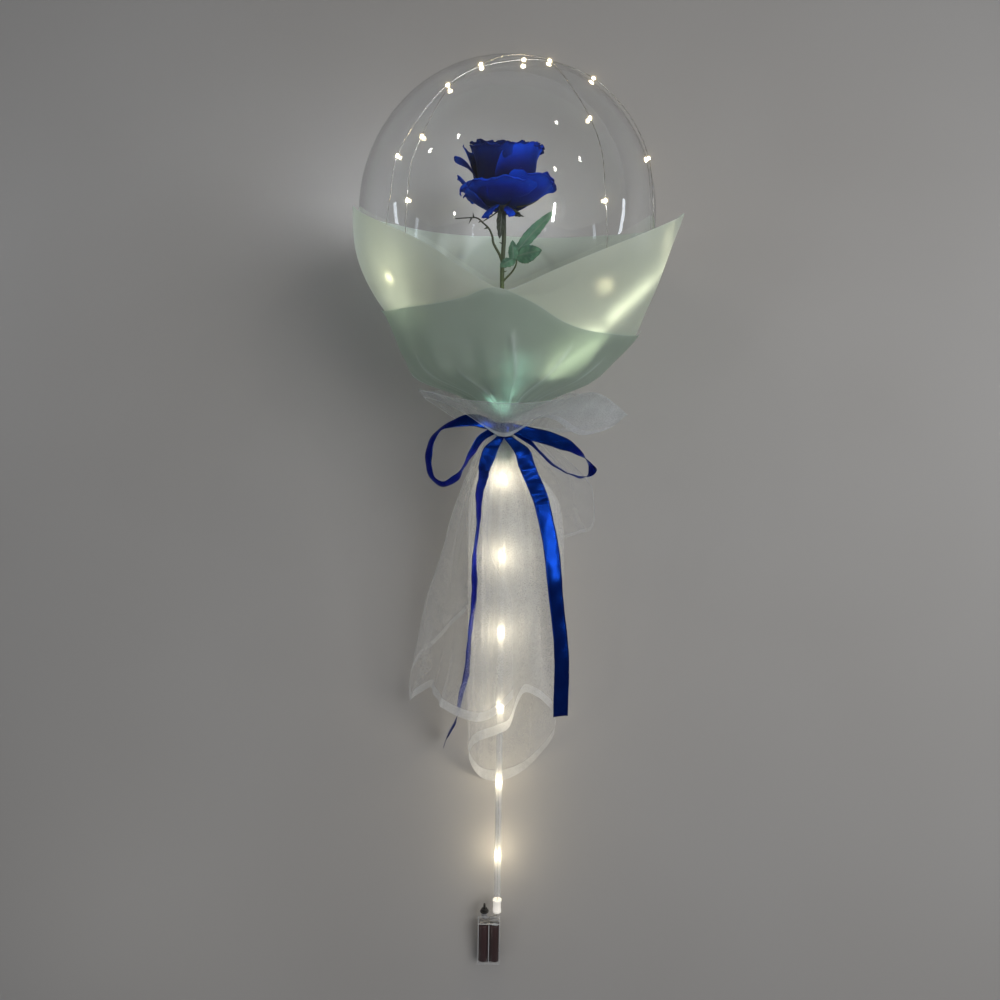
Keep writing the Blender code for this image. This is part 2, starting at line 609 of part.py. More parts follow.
def make_bow():
    band_inner = OUTER_TULLE + BAND_GAP
    band_outer = band_inner + 2 * RIBBON
    half = TIE_HEIGHT / 2
    ring = [(band_outer, half), (band_outer, -half), (band_inner, -half), (band_inner, half)]
    knot = turned("ribbon_knot", ring, SATIN, ROUND_STEPS, closed=True)
    front = -(band_outer - RIBBON)
    tuck = block("knot_front", (-KNOT_WIDTH / 2, front - KNOT_DEPTH, -KNOT_HEIGHT * 0.7),
                 (KNOT_WIDTH / 2, front, KNOT_HEIGHT * 0.3), SATIN)
    rounding = tuck.modifiers.new("rounding", "BEVEL")
    rounding.width = 0.003
    rounding.segments = 1
    combine(knot, tuck, "UNION")
    ribbon("bow_loop_left", LEFT_LOOP, 2)
    ribbon("bow_loop_right", RIGHT_LOOP, 2)
    ribbon("bow_tail_left", LEFT_TAIL, 2)
    ribbon("bow_tail_right", RIGHT_TAIL, 2)


# Tube, battery box, cells and switch

def make_tube():
    inner = TUBE_RADIUS - TUBE_WALL
    wall = [(TUBE_RADIUS, TUBE_TOP), (TUBE_RADIUS, TUBE_BOTTOM), (inner, TUBE_BOTTOM), (inner, TUBE_TOP)]
    tube = turned("tube", wall, CLEAR_HARD, ROUND_STEPS, closed=True)
    slot = block("wire_slot", (-SLOT_WIDTH / 2, -2 * TUBE_RADIUS, SLOT_CENTRE - SLOT_LENGTH / 2),
                 (SLOT_WIDTH / 2, 0.0, SLOT_CENTRE + SLOT_LENGTH / 2))
    combine(tube, slot, "DIFFERENCE")
    shade(tube)


def make_battery_box():
    left, right = BOX_X - BOX_WIDTH / 2, BOX_X + BOX_WIDTH / 2
    case = block("battery_case", (left, -HALF_BOX, BOX_BOTTOM), (right, HALF_BOX, BOX_TOP))
    edges = case.modifiers.new("edges", "BEVEL")
    edges.width = BOX_EDGE
    edges.segments = 1
    bay_top = BOX_BOTTOM + BOX_WALL + CELL_BAY_LENGTH
    open_back = HALF_BOX - BOX_WALL
    for name, low, high in (("cell_bay", BOX_BOTTOM + BOX_WALL, bay_top),
                            ("switch_bay", bay_top + BAY_WALL, BOX_TOP - BOX_WALL)):
        bay = block(name, (left + BOX_WALL, BOX_WALL - HALF_BOX, low),
                    (right - BOX_WALL, HALF_BOX + BOX_WALL, high))
        combine(case, bay, "DIFFERENCE")
    rebate = block("lid_rebate", (left + BOX_WALL / 2, open_back - FIT, BOX_BOTTOM + BOX_WALL / 2),
                   (right - BOX_WALL / 2, HALF_BOX + BOX_WALL, BOX_TOP - BOX_WALL / 2))
    combine(case, rebate, "DIFFERENCE")
    combine(case, rod("socket", TUBE_RADIUS, BOX_TOP - BOX_WALL / 2, TUBE_BOTTOM - FIT), "UNION")
    spigot_radius = TUBE_RADIUS - TUBE_WALL - FIT
    spigot_top = TUBE_BOTTOM + SPIGOT_LENGTH
    combine(case, rod("spigot", spigot_radius, TUBE_BOTTOM - 2 * FIT, spigot_top), "UNION")
    bore_bottom = BOX_TOP - 2 * BOX_WALL
    combine(case, rod("wire_bore", WIRE_BORE_RADIUS, bore_bottom, spigot_top + BOX_WALL), "DIFFERENCE")
    seat = rod("switch_hole", SWITCH_BODY_RADIUS + FIT, bore_bottom, BOX_TOP + BOX_WALL, SWITCH_X)
    combine(case, seat, "DIFFERENCE")

    block("battery_lid", (left + BOX_WALL / 2 + FIT, open_back, BOX_BOTTOM + BOX_WALL / 2 + FIT),
          (right - BOX_WALL / 2 - FIT, HALF_BOX, BOX_TOP - BOX_WALL / 2 - FIT))

    cell_bottom = BOX_BOTTOM + BOX_WALL + CELL_END_ROOM
    for name, side in (("cell_left", -1), ("cell_right", 1)):
        x = BOX_X + side * (CELL_RADIUS + CELL_SIDE_ROOM / 2)
        top = cell_bottom + CELL_LENGTH
        cell = rod(name, CELL_RADIUS, cell_bottom, top, x, CELL)
        tip = rod(name + "_tip", CELL_TIP_RADIUS, top - FIT, top + CELL_TIP_LENGTH, x, CELL, 12)
        combine(cell, tip, "UNION")
        shade(cell)


def make_switch():
    """A collar screwed into the box's top, and the button that slides down into it."""
    collar = rod("switch_collar", COLLAR_RADIUS, BOX_TOP + FIT, BOX_TOP + COLLAR_HEIGHT, SWITCH_X, BLACK)
    body = rod("switch_body", SWITCH_BODY_RADIUS, BOX_TOP - SWITCH_BODY_DEPTH, BOX_TOP + 2 * FIT,
               SWITCH_X, BLACK)
    combine(collar, body, "UNION")
    button_bottom = BOX_TOP + COLLAR_HEIGHT - BUTTON_DEPTH
    bore = rod("button_bore", BUTTON_RADIUS + SLIDE_FIT, button_bottom - BUTTON_TRAVEL - FIT,
               BOX_TOP + 2 * COLLAR_HEIGHT, SWITCH_X, BLACK, 16)
    combine(collar, bore, "DIFFERENCE")
    shade(collar)

    button = rod("switch_button", BUTTON_RADIUS, -BUTTON_DEPTH, BUTTON_HEIGHT, 0.0, BLACK, 16)
    button.location = (SWITCH_X, 0.0, BOX_TOP + COLLAR_HEIGHT)
    cap = button.modifiers.new("cap_edge", "BEVEL")
    cap.width = 0.0004
    cap.segments = 1
    shade(button)


# Light string

# Both loops over the balloon: azimuth, angle from the top, and whether a bead sits there.
FRONT_LOOP = [
    (-40, 172, 0), (-42, 152, 0), (-42, 134, 1), (-40, 118, 0), (-39, 109, 0), (-35.6, 97, 1),
    (-33.8, 86, 0), (-30.4, 77.3, 1), (-26.5, 66, 0), (-22, 55, 0), (-13.4, 46.7, 1), (-5, 40.6, 0),
    (4, 37.4, 0), (13.3, 37.6, 0), (21.8, 39.6, 1), (24.5, 55, 0), (29.3, 69.8, 1), (32.4, 82, 0),
    (34.1, 96.5, 1), (38, 109, 0), (42, 122, 1), (48, 132, 0), (54, 143, 1), (52, 158, 0), (46, 172, 0)]
OVER_LOOP = [
    (-58, 172, 0), (-58, 152, 1), (-56, 134, 0), (-53, 119, 1), (-49, 106, 0), (-43.5, 94, 0),
    (-40.6, 81.6, 1), (-33, 69.5, 0), (-24.5, 58, 1), (-12.8, 50, 0), (6.5, 44.7, 1), (25, 42.7, 0),
    (50, 42, 1), (61, 50, 0), (66, 60, 0), (67, 72.7, 1), (64.5, 87, 0), (70, 100.5, 1), (76, 114, 0),
    (79, 127, 1), (76, 142, 0), (72, 156, 0), (68, 164, 1), (67, 171, 0)]


def loop_points(loop, lift):
    """Points of one loop on the balloon, lifted over its top, with a mark at each bead."""
    points = []
    for azimuth, polar, bead in loop:
        raised = lift * (1 - ease(55.0, 80.0, polar))
        radius, z = balloon_surface(polar, WIRE_OFF_BALLOON + raised)
        points.append((around(azimuth, radius, z), bead))
    return points


def make_light_string():
    """One wire with its beads, from the battery box to its end on the balloon."""
    route = [(Vector((0.0, 0.0, BOX_TOP - 2 * BOX_WALL)), 0)]
    tube_beads = 1 + int((TOP_TUBE_BEAD - TUBE_BOTTOM) / BEAD_PITCH)
    for index in reversed(range(tube_beads)):
        z = TOP_TUBE_BEAD - index * BEAD_PITCH
        route += [(Vector((0.0, 0.0, z - BEAD_PITCH / 2)), 0), (Vector((0.0, 0.0, z)), 1)]
    route += [(Vector((0.0, 0.0, -0.020)), 0), (Vector((0.0, 0.0, 0.004)), 0)]
    beside_neck = NECK_RADIUS + 0.0035
    route += [(Vector((0.0, -0.0015, 0.013)), 0), (Vector((-0.0005, -0.0075, 0.020)), 0),
              (around(-18.0, beside_neck, 0.030), 0), (around(-34.0, beside_neck, 0.040), 0)]
    route += loop_points(FRONT_LOOP, 0.0)
    turn = beside_neck + UPPER_LOOP_LIFT
    route += [(around(azimuth, turn, 0.040), 0) for azimuth in (70, 115, 160, 205, 250, 285)]
    route += loop_points(OVER_LOOP, UPPER_LOOP_LIFT)

    path = [point for point, bead in route]
    samples = 4
    fine = smooth_path(path, samples)
    marks = {index * samples for index, (point, bead) in enumerate(route) if bead}
    kept = []
    last = None
    for index, point in enumerate(fine):
        if index in marks:
            along = (fine[index + 1] - fine[index - 1]).normalized()
            for offset, share in ((-0.5, 1.0), (-0.28, BEAD_RADIUS / WIRE_RADIUS),
                                  (0.28, BEAD_RADIUS / WIRE_RADIUS), (0.5, 1.0)):
                kept.append((point + along * (offset * BEAD_LENGTH), share))
            last = point
        elif last is None or is_free(index, point, last, marks, fine):
            kept.append((point, 1.0))
            last = point

    curve = bpy.data.curves.new("light_string", "CURVE")
    curve.dimensions = "3D"
    curve.bevel_depth = WIRE_RADIUS
    curve.bevel_resolution = 0
    curve.use_fill_caps = True
    spline = curve.splines.new("POLY")
    spline.points.add(len(kept) - 1)
    for target, (point, share) in zip(spline.points, kept):
        target.co = (*point, 1.0)
        target.radius = share
    made = bpy.data.objects.new("light_string", curve)
    name_object(made, "light_string", LIGHTS)


def is_free(index, point, last, marks, fine):
    """Whether a point of the fine path is far enough from the last kept one and from any bead."""
    near_neck = hypot(point.x, point.y) < 0.03 and point.z > -0.03
    step = WIRE_STEP / 6 if near_neck else WIRE_STEP * 0.6
    near_bead = any(abs(index - mark) < 8 and (fine[mark] - point).length < BEAD_LENGTH for mark in marks)
    return (point - last).length > step and not near_bead


make_balloon()
make_film()
make_collar()
make_tail()
make_veil()
make_bow()
make_tube()
make_battery_box()
make_switch()
make_light_string()
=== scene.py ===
"""Looks of the light-up rose balloon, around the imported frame.

Pieces are drawn as part.py draws them: upright, with Z along the tube, zero at the ribbon tie and the
front towards -Y. LAY then lays them down with the frame.
"""
import random
from math import atan2, cos, exp, hypot, pi, radians, sin, sqrt, tau
import bpy
import bmesh
from mathutils import Matrix, Vector


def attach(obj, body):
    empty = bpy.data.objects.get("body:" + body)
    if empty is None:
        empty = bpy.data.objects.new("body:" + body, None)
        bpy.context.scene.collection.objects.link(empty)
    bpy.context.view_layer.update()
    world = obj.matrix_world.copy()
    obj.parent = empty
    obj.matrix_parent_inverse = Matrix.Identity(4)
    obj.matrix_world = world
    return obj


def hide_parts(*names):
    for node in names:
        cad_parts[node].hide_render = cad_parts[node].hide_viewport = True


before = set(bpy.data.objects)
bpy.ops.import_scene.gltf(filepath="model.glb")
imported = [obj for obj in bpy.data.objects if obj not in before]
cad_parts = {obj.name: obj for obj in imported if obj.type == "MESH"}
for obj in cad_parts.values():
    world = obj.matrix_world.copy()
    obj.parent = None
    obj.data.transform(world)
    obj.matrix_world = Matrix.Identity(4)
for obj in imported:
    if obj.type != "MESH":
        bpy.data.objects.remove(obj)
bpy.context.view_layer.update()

# Sizes, as in part.py
BALLOON_RADIUS = 0.183
BALLOON_RISE = 0.073
TAPER_ANGLE = 150.0
NECK_RADIUS = 0.007
NECK_TOP = 0.045
NECK_BOTTOM = 0.028
TUBE_RADIUS = 0.0045
TUBE_WALL = 0.001
TUBE_TOP = 0.060
TUBE_BOTTOM = -0.617
BOX_TOP = -0.640
BOX_BOTTOM = -0.708
BOX_X = -0.0104
BOX_WIDTH = 0.0314
BOX_THICKNESS = 0.018
BOX_WALL = 0.0011
SWITCH_X = -0.0166
FILM_OFF_BALLOON = 0.0070
GATHER_RADIUS = 0.0075
TIE_RUN = 0.008
FILM_SKIRT = 0.045
SKIRT_FLARE = 0.10
RIBBON_WIDTH = 0.020
BALLOON_CENTRE = BALLOON_RISE + BALLOON_RADIUS
LEAN = 0.17718074
FLOOR_BELOW_TIE = 0.13355963
LAY = Matrix.Translation((0.0, -BALLOON_CENTRE * cos(LEAN), FLOOR_BELOW_TIE))
LAY = LAY @ Matrix.Rotation(LEAN - pi / 2, 4, "X")


def above_floor(point, clearance):
    """The point, moved forward where it would be nearer to the floor than clearance."""
    deepest = (FLOOR_BELOW_TIE + point.z * sin(LEAN) - clearance) / cos(LEAN)
    return Vector((point.x, min(point.y, deepest), point.z))


def ease(low, high, at):
    """Rise smoothly from 0 at low to 1 at high."""
    t = min(1.0, max(0.0, (at - low) / (high - low)))
    return t * t * (3 - 2 * t)


def bump_at(middle, half, at):
    """A smooth hill of height 1 around middle, half wide on each side."""
    return exp(-((at - middle) / half) ** 2)


def read_table(rows, at):
    """The values of a table of (position, value, ...) rows at one position, on smooth curves."""
    if at <= rows[0][0]:
        return list(rows[0][1:])
    if at >= rows[-1][0]:
        return list(rows[-1][1:])
    after = next(index for index, row in enumerate(rows) if at < row[0])
    first, second = rows[after - 1], rows[after]
    before, later = rows[max(after - 2, 0)], rows[min(after + 1, len(rows) - 1)]
    step = second[0] - first[0]
    t = (at - first[0]) / step
    values = []
    for a, b, c, d in zip(before[1:], first[1:], second[1:], later[1:]):
        leaving = (c - a) / (second[0] - before[0]) * step
        arriving = (d - b) / (later[0] - first[0]) * step
        values.append(b + leaving * t + (3 * (c - b) - 2 * leaving - arriving) * t ** 2
                      + (leaving + arriving - 2 * (c - b)) * t ** 3)
    return values


def smooth_path(points, samples):
    """A smooth curve through chosen points, with the given number of samples for each stretch."""
    ends = [2 * points[0] - points[1]] + list(points) + [2 * points[-1] - points[-2]]
    path = []
    for index in range(1, len(ends) - 2):
        before, first, second, after = ends[index - 1:index + 3]
        for step in range(samples):
            t = step / samples
            path.append(0.5 * (2 * first + (second - before) * t
                               + (2 * before - 5 * first + 4 * second - after) * t ** 2
                               + (3 * first - before - 3 * second + after) * t ** 3))
    return path + [points[-1].copy()]


def around(azimuth, radius, z):
    """A point round the tube: 0 degrees is the front, 90 the right, 180 the back."""
    angle = radians(azimuth)
    return Vector((radius * sin(angle), -radius * cos(angle), z))


# Camera, at the photograph's angle and distance

FRAME_WIDTH = 1000.0          # in pixels
FOCAL = 751.0                 # in pixels of that frame
TUBE_SHIFT = 3.0              # how far right of the frame's middle the tube stands, in pixels
PITCH = radians(3.6)
ROLL = 0.0145
DISTANCE = 0.963              # to the tube's axis, level with the middle of the photograph
AIM = -0.092                  # the height along the tube that distance is measured to
SENSOR = 36.0                 # in mm

camera_data = bpy.data.cameras.new("camera")
camera = bpy.data.objects.new("camera", camera_data)
bpy.context.scene.collection.objects.link(camera)
camera_data.sensor_fit = "HORIZONTAL"
camera_data.sensor_width = SENSOR
camera_data.lens = SENSOR * FOCAL / FRAME_WIDTH
camera_data.clip_start = 0.01
look = Vector((0.0, cos(PITCH), -sin(PITCH)))
up = Vector((0.0, sin(PITCH), cos(PITCH)))
right = Vector((1.0, 0.0, 0.0))
spot = Vector((0.0, 0.0, AIM)) - look * DISTANCE - right * (TUBE_SHIFT / FOCAL * DISTANCE)
turn = Matrix((right, up, -look)).transposed().to_4x4()
camera.matrix_world = LAY @ Matrix.Translation(spot) @ turn @ Matrix.Rotation(ROLL, 4, "Z")
bpy.context.scene.camera = camera


# Materials

class Look:
    """A material's node tree, with short calls for its nodes."""

    def __init__(self, name):
        self.material = bpy.data.materials.new(name)
        self.material.use_nodes = True
        self.tree = self.material.node_tree
        self.shader = self.tree.nodes["Principled BSDF"]
        self.output = self.tree.nodes["Material Output"]

    def set(self, **values):
        """Put plain values on the Principled shader's own sockets."""
        for key, value in values.items():
            self.shader.inputs[key.replace("_", " ")].default_value = value
        return self

    def node(self, kind, inputs=(), **settings):
        """A node, with its inputs given as numbers, colours or other nodes' outputs."""
        made = self.tree.nodes.new("ShaderNode" + kind)
        for key, value in settings.items():
            setattr(made, key, value)
        for key, value in dict(inputs).items():
            if isinstance(value, bpy.types.NodeSocket):
                self.tree.links.new(value, made.inputs[key])
            else:
                made.inputs[key].default_value = value
        return made

    def link(self, output, name):
        self.tree.links.new(output, self.shader.inputs[name])

    def place(self, scale=(1.0, 1.0, 1.0), coordinates="Object"):
        """Coordinates in metres, or UV in metres, scaled."""
        source = self.node("TexCoord").outputs[coordinates]
        return self.node("Mapping", {"Vector": source, "Scale": scale}).outputs["Vector"]

    def noise(self, scale, detail=2.0, vector=None, rough=0.5):
        vector = vector or self.place()
        inputs = {"Vector": vector, "Scale": scale, "Detail": detail, "Roughness": rough}
        return self.node("TexNoise", inputs).outputs["Fac"]

    def attribute(self, name):
        return self.node("Attribute", attribute_name=name).outputs["Fac"]

    def ramp(self, value, *stops):
        """A colour ramp of (position, value or colour) stops."""
        made = self.node("ValToRGB", {"Fac": value})
        band = made.color_ramp
        while len(band.elements) < len(stops):
            band.elements.new(0.5)
        for element, (at, colour) in zip(band.elements, stops):
            element.position = at
            element.color = colour if isinstance(colour, tuple) else (colour, colour, colour, 1.0)
        return made.outputs["Color"]

    def math(self, operation, first, second=0.0, clamp=False):
        made = self.node("Math", {0: first, 1: second}, operation=operation, use_clamp=clamp)
        return made.outputs[0]

    def mix(self, share, first, second):
        return self.node("MixRGB", {"Fac": share, "Color1": first, "Color2": second}).outputs["Color"]

    def bump(self, height, strength, distance):
        inputs = {"Height": height, "Strength": strength, "Distance": distance}
        self.link(self.node("Bump", inputs).outputs["Normal"], "Normal")

    def mix_shader(self, share, first, second):
        return self.node("MixShader", {0: share, 1: first, 2: second}).outputs[0]

    def finish(self, shader):
        self.tree.links.new(shader, self.output.inputs["Surface"])
        return self.material


def rgb(red, green, blue):
    return (red, green, blue, 1.0)


def clear_look(name, colour, roughness, ior):
    """Clear plastic, see-through by the shader's own values."""
    made = Look(name).set(Base_Color=rgb(*colour), Roughness=roughness, IOR=ior, Transmission_Weight=1.0)
    return made.material


def milky_look(name, colour, opacity, roughness):
    """Moulded clear plastic that shows pale where its walls are seen edge on."""
    made = Look(name).set(Base_Color=rgb(*colour), Roughness=roughness, IOR=1.49, Alpha=opacity,
                          Coat_Weight=0.6, Coat_Roughness=0.05)
    made.bump(made.noise(260.0, 1.0), 0.4, 0.0002)
    return made.material


def film_look(name, dark, light):
    """Frosted film: pale mint, a soft gloss, light that passes through it, and a painted highlight where it
    is creased.
    """
    made = Look(name).set(Roughness=0.36, IOR=1.45, Coat_Weight=0.45, Coat_Roughness=0.28)
    cloud = made.noise(7.0, 3.0)
    tint = made.ramp(cloud, (0.35, rgb(*dark)), (0.65, rgb(*light)))
    # Painted highlight: the film is painted paler along its folds and its top rim, where light catches the
    # creases.
    crease = made.attribute("crease")
    tint = made.mix(crease, tint, rgb(0.84, 0.92, 0.92))
    made.link(tint, "Base Color")
    ripple = made.noise(28.0, 2.0)
    made.bump(ripple, 0.35, 0.004)
    through = made.node("BsdfTranslucent", {"Color": rgb(0.80, 0.93, 0.87)}).outputs[0]
    return made.finish(made.mix_shader(0.40, made.shader.outputs[0], through))


def tulle_look(name):
    """Fine net. The attribute called cover says how closely it is gathered at each point."""
    made = Look(name).set(Base_Color=rgb(0.88, 0.90, 0.93), Roughness=0.75, Sheen_Weight=0.3)
    cells = made.node("TexVoronoi", {"Vector": made.place(coordinates="UV"), "Scale": 460.0,
                                     "Randomness": 1.0}, feature="DISTANCE_TO_EDGE").outputs["Distance"]
    net = made.ramp(cells, (0.0, 1.25), (0.22, 0.90))
    wisp = made.ramp(made.noise(24.0, 3.0), (0.25, 0.75), (0.75, 1.30))
    cover = made.math("MULTIPLY", made.math("MULTIPLY", made.attribute("cover"), net), wisp, clamp=True)
    through = made.node("BsdfTranslucent", {"Color": rgb(0.86, 0.89, 0.92)}).outputs[0]
    lit = made.mix_shader(0.45, made.shader.outputs[0], through)
    clear = made.node("BsdfTransparent").outputs[0]
    return made.finish(made.mix_shader(cover, clear, lit))


def satin_look():
    """Dark blue satin ribbon: fine ribs along its length and a broad sheen across them."""
    made = Look("blue_satin").set(Roughness=0.26, Metallic=0.88, Anisotropic=0.3, Specular_IOR_Level=0.5)
    made.set(Specular_Tint=rgb(0.10, 0.32, 1.0))
    uv = made.place(coordinates="UV")
    shade = made.noise(60.0, 2.0, uv)
    made.link(made.ramp(shade, (0.2, rgb(0.002, 0.016, 0.16)), (0.8, rgb(0.003, 0.036, 0.28))), "Base Color")
    rib = made.node("TexWave", {"Vector": uv, "Scale": 500.0, "Distortion": 0.4}, bands_direction="Y")
    made.bump(rib.outputs["Fac"], 0.35, 0.0002)
    return made.material


def petal_look():
    """Velvety royal blue petals, with painted shade towards the base, where shade falls deep in the flower,
    and darker again along the rim.
    """
    made = Look("rose_petal").set(Roughness=0.65, Sheen_Weight=0.10, Sheen_Roughness=0.4,
                                  Specular_IOR_Level=0.04, Sheen_Tint=rgb(0.02, 0.25, 1.0))
    along = made.attribute("along")
    # Painted shade: the ramp darkens each petal towards its base, deep inside the rose.
    tone = made.ramp(along, (0.0, rgb(0.000, 0.001, 0.03)), (0.45, rgb(0.000, 0.008, 0.20)),
                     (0.88, rgb(0.000, 0.055, 0.60)), (1.0, rgb(0.000, 0.012, 0.26)))
    patch = made.ramp(made.noise(40.0, 3.0), (0.3, 0.65), (0.7, 1.10))
    # Painted shade: the cup's petals are multiplied darker, most of all low down.
    patch = made.math("MULTIPLY", patch, made.attribute("painted_cup_shade"))
    tinted = made.node("MixRGB", {"Fac": 1.0, "Color1": tone, "Color2": patch}, blend_type="MULTIPLY")
    made.link(tinted.outputs["Color"], "Base Color")
    vein = made.node("TexWave", {"Vector": made.place(coordinates="UV"), "Scale": 3.5, "Distortion": 2.0,
                                 "Detail": 2.0}, bands_direction="X").outputs["Fac"]
    made.bump(vein, 0.25, 0.0006)
    return made.material


def leaf_look(name, light, dark):
    """Matt cloth leaf with a paler midrib, side veins and a woven grain."""
    made = Look(name).set(Roughness=0.6, Specular_IOR_Level=0.3)
    vein = made.attribute("vein")
    patch = made.noise(90.0, 3.0)
    tone = made.ramp(patch, (0.3, rgb(*dark)), (0.7, rgb(*light)))
    pale = tuple(0.5 * value + 0.10 for value in light)
    made.link(made.mix(vein, tone, rgb(*pale)), "Base Color")
    made.bump(made.math("ADD", made.noise(900.0, 1.0), vein), 0.5, 0.0004)
    return made.material


def stem_look():
    made = Look("rose_stem").set(Roughness=0.5)
    height = made.node("SeparateXYZ", {0: made.place(coordinates="UV")}).outputs["Y"]
    tone = made.ramp(height, (0.0, rgb(0.10, 0.14, 0.03)), (0.5, rgb(0.06, 0.09, 0.02)),
                     (1.0, rgb(0.018, 0.02, 0.008)))
    made.link(tone, "Base Color")
    made.bump(made.noise(300.0, 2.0), 0.4, 0.0006)
    return made.material


def plain_look(name, colour, roughness, metallic=0.0, grain=400.0, height=0.0001, vary=0.15):
    """Moulded plastic or metal: a little colour variation and a fine grain."""
    made = Look(name).set(Roughness=roughness, Metallic=metallic)
    darker = tuple(value * (1 - vary) for value in colour)
    made.link(made.ramp(made.noise(120.0, 3.0), (0.3, rgb(*darker)), (0.7, rgb(*colour))), "Base Color")
    made.bump(made.noise(grain, 2.0), 0.5, height)
    return made.material


def glow_look(name, colour, strength):
    made = Look(name).set(Base_Color=rgb(1.0, 0.95, 0.85), Roughness=0.3, Emission_Color=rgb(*colour),
                          Emission_Strength=strength)
    return made.material


BALLOON_SKIN = clear_look("clear_balloon", (0.98, 0.99, 1.0), 0.015, 1.45)
CLEAR_TUBE = milky_look("clear_tube", (0.95, 0.96, 0.95), 0.26, 0.10)
CLEAR_BOX = milky_look("clear_box", (0.90, 0.91, 0.92), 0.015, 0.08)
# One film in two tints: the back sheet painted lighter, as the string's light glowing in it, and the front
# sheet painted darker, as shade where it lies over the back sheet.
LIT_BACK_FILM = film_look("frosted_film_back_painted_light", (0.64, 0.71, 0.61), (0.76, 0.81, 0.70))
SHADED_FRONT_FILM = film_look("frosted_film_front_painted_shade", (0.35, 0.43, 0.37), (0.50, 0.58, 0.52))
TULLE = tulle_look("tulle")
SATIN = satin_look()
PETAL = petal_look()
LEAF = leaf_look("rose_leaf", (0.09, 0.22, 0.13), (0.04, 0.12, 0.07))
DARK_LEAF = leaf_look("rose_sepal", (0.025, 0.035, 0.015), (0.012, 0.018, 0.008))
STEM = stem_look()
WIRE = plain_look("silver_wire", (0.75, 0.72, 0.66), 0.25, 1.0)
GLOW = glow_look("warm_light", (1.0, 0.83, 0.50), 60.0)
# Painted reflection: pale strips where the clear case's walls catch the light.
RIB_PAINTED_REFLECTION = milky_look("rib_painted_reflection", (0.90, 0.91, 0.92), 0.50, 0.15)
# Painted glow: the socket that holds the tube gives off light though it is no lamp, standing in for its
# highlight.
SOCKET_PAINTED_GLOW = glow_look("socket_painted_glow", (1.0, 0.95, 0.86), 0.45)
CELL = plain_look("cell_wrapper", (0.040, 0.006, 0.006), 0.34)
METAL = plain_look("cell_metal", (0.72, 0.70, 0.66), 0.25, 1.0)
BLACK = plain_look("black_plastic", (0.02, 0.02, 0.02), 0.42)
GREY = plain_look("grey_plastic", (0.35, 0.35, 0.36), 0.45)


# Piece builders

def add_mesh(name, points, faces, material, slot=None, uv=None, body="root", lay=True, values=None):
    """A mesh piece that rides on a body. values are named numbers for each point."""
    mesh = bpy.data.meshes.new(name)
    mesh.from_pydata([(LAY @ point if lay else point)[:] for point in points], [], faces)
    mesh.update()
    if uv:
        layer = mesh.uv_layers.new(name="UVMap")
        for loop in mesh.loops:
            layer.data[loop.index].uv = uv[loop.vertex_index]
    for key, numbers in (values or {}).items():
        made = mesh.attributes.new(key, "FLOAT", "POINT")
        made.data.foreach_set("value", numbers)
    mesh.materials.append(material)
    mesh.shade_smooth()
    piece = bpy.data.objects.new(name, mesh)
    bpy.context.scene.collection.objects.link(piece)
    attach(piece, body)
    return piece


def grid(columns, rows, point, closed=False):
    """Points, faces and (u, v) pairs of a grid. point(u, v) gives each point."""
    across = columns if closed else columns + 1
    pairs = [(column / columns, row / rows) for row in range(rows + 1) for column in range(across)]
    points = [point(u, v) for u, v in pairs]
    faces = []
    for row in range(rows):
        for column in range(columns):
            first = row * across + column
            second = row * across + (column + 1) % across
            faces.append((first, second, second + across, first + across))
    return points, faces, pairs


def grid_piece(name, columns, rows, point, material, slot, size=(1.0, 1.0), closed=False, values=None,
               thickness=0.0, body="root"):
    """A sheet from a grid, with UV in metres, numbers from values(u, v) and an optional thickness."""
    points, faces, pairs = grid(columns, rows, point, closed)
    uv = [(u * size[0], v * size[1]) for u, v in pairs]
    numbers = {key: [rule(u, v) for u, v in pairs] for key, rule in (values or {}).items()}
    piece = add_mesh(name, points, faces, material, slot, uv, body, values=numbers)
    if thickness:
        thicken(piece, thickness)
    return piece


def thicken(piece, thickness):
    """Give a sheet its thickness, half of it to each side."""
    skin = piece.modifiers.new("thickness", "SOLIDIFY")
    skin.thickness = thickness
    skin.offset = 0.0
    return piece


def lathe(profile, steps, x=0.0):
    """Points and faces turned about a line along Z from (radius, height) points, closed at radius 0."""
    points, faces, rings = [], [], []
    for radius, height in profile:
        if radius <= 0.0:
            rings.append([len(points)])
            points.append(Vector((x, 0.0, height)))
            continue
        rings.append(list(range(len(points), len(points) + steps)))
        points += [Vector((x + radius * cos(tau * step / steps), radius * sin(tau * step / steps), height))
                   for step in range(steps)]
    for first, second in zip(rings, rings[1:]):
        for step in range(steps):
            after = (step + 1) % steps
            corners = [first[step % len(first)], first[after % len(first)],
                       second[after % len(second)], second[step % len(second)]]
            corners = list(dict.fromkeys(corners))
            if len(corners) > 2:
                faces.append(tuple(corners))
    return points, faces


def tube_along(path, radii, sides=8):
    """Points and faces of a round bar along a path, with a radius at each point and closed ends."""
    points, faces = [], []
    side = None
    for index, middle in enumerate(path):
        along = (path[min(index + 1, len(path) - 1)] - path[max(index - 1, 0)]).normalized()
        if side is None:
            side = along.orthogonal().normalized()
        side = (side - along * side.dot(along)).normalized()
        other = along.cross(side)
        radius = radii[index] if hasattr(radii, "__len__") else radii
        points += [middle + (side * cos(tau * k / sides) + other * sin(tau * k / sides)) * radius
                   for k in range(sides)]
    for ring in range(len(path) - 1):
        for k in range(sides):
            first, second = ring * sides + k, ring * sides + (k + 1) % sides
            faces.append((first, second, second + sides, first + sides))
    faces.append(tuple(range(sides))[::-1])
    last = (len(path) - 1) * sides
    faces.append(tuple(range(last, last + sides)))
    return points, faces


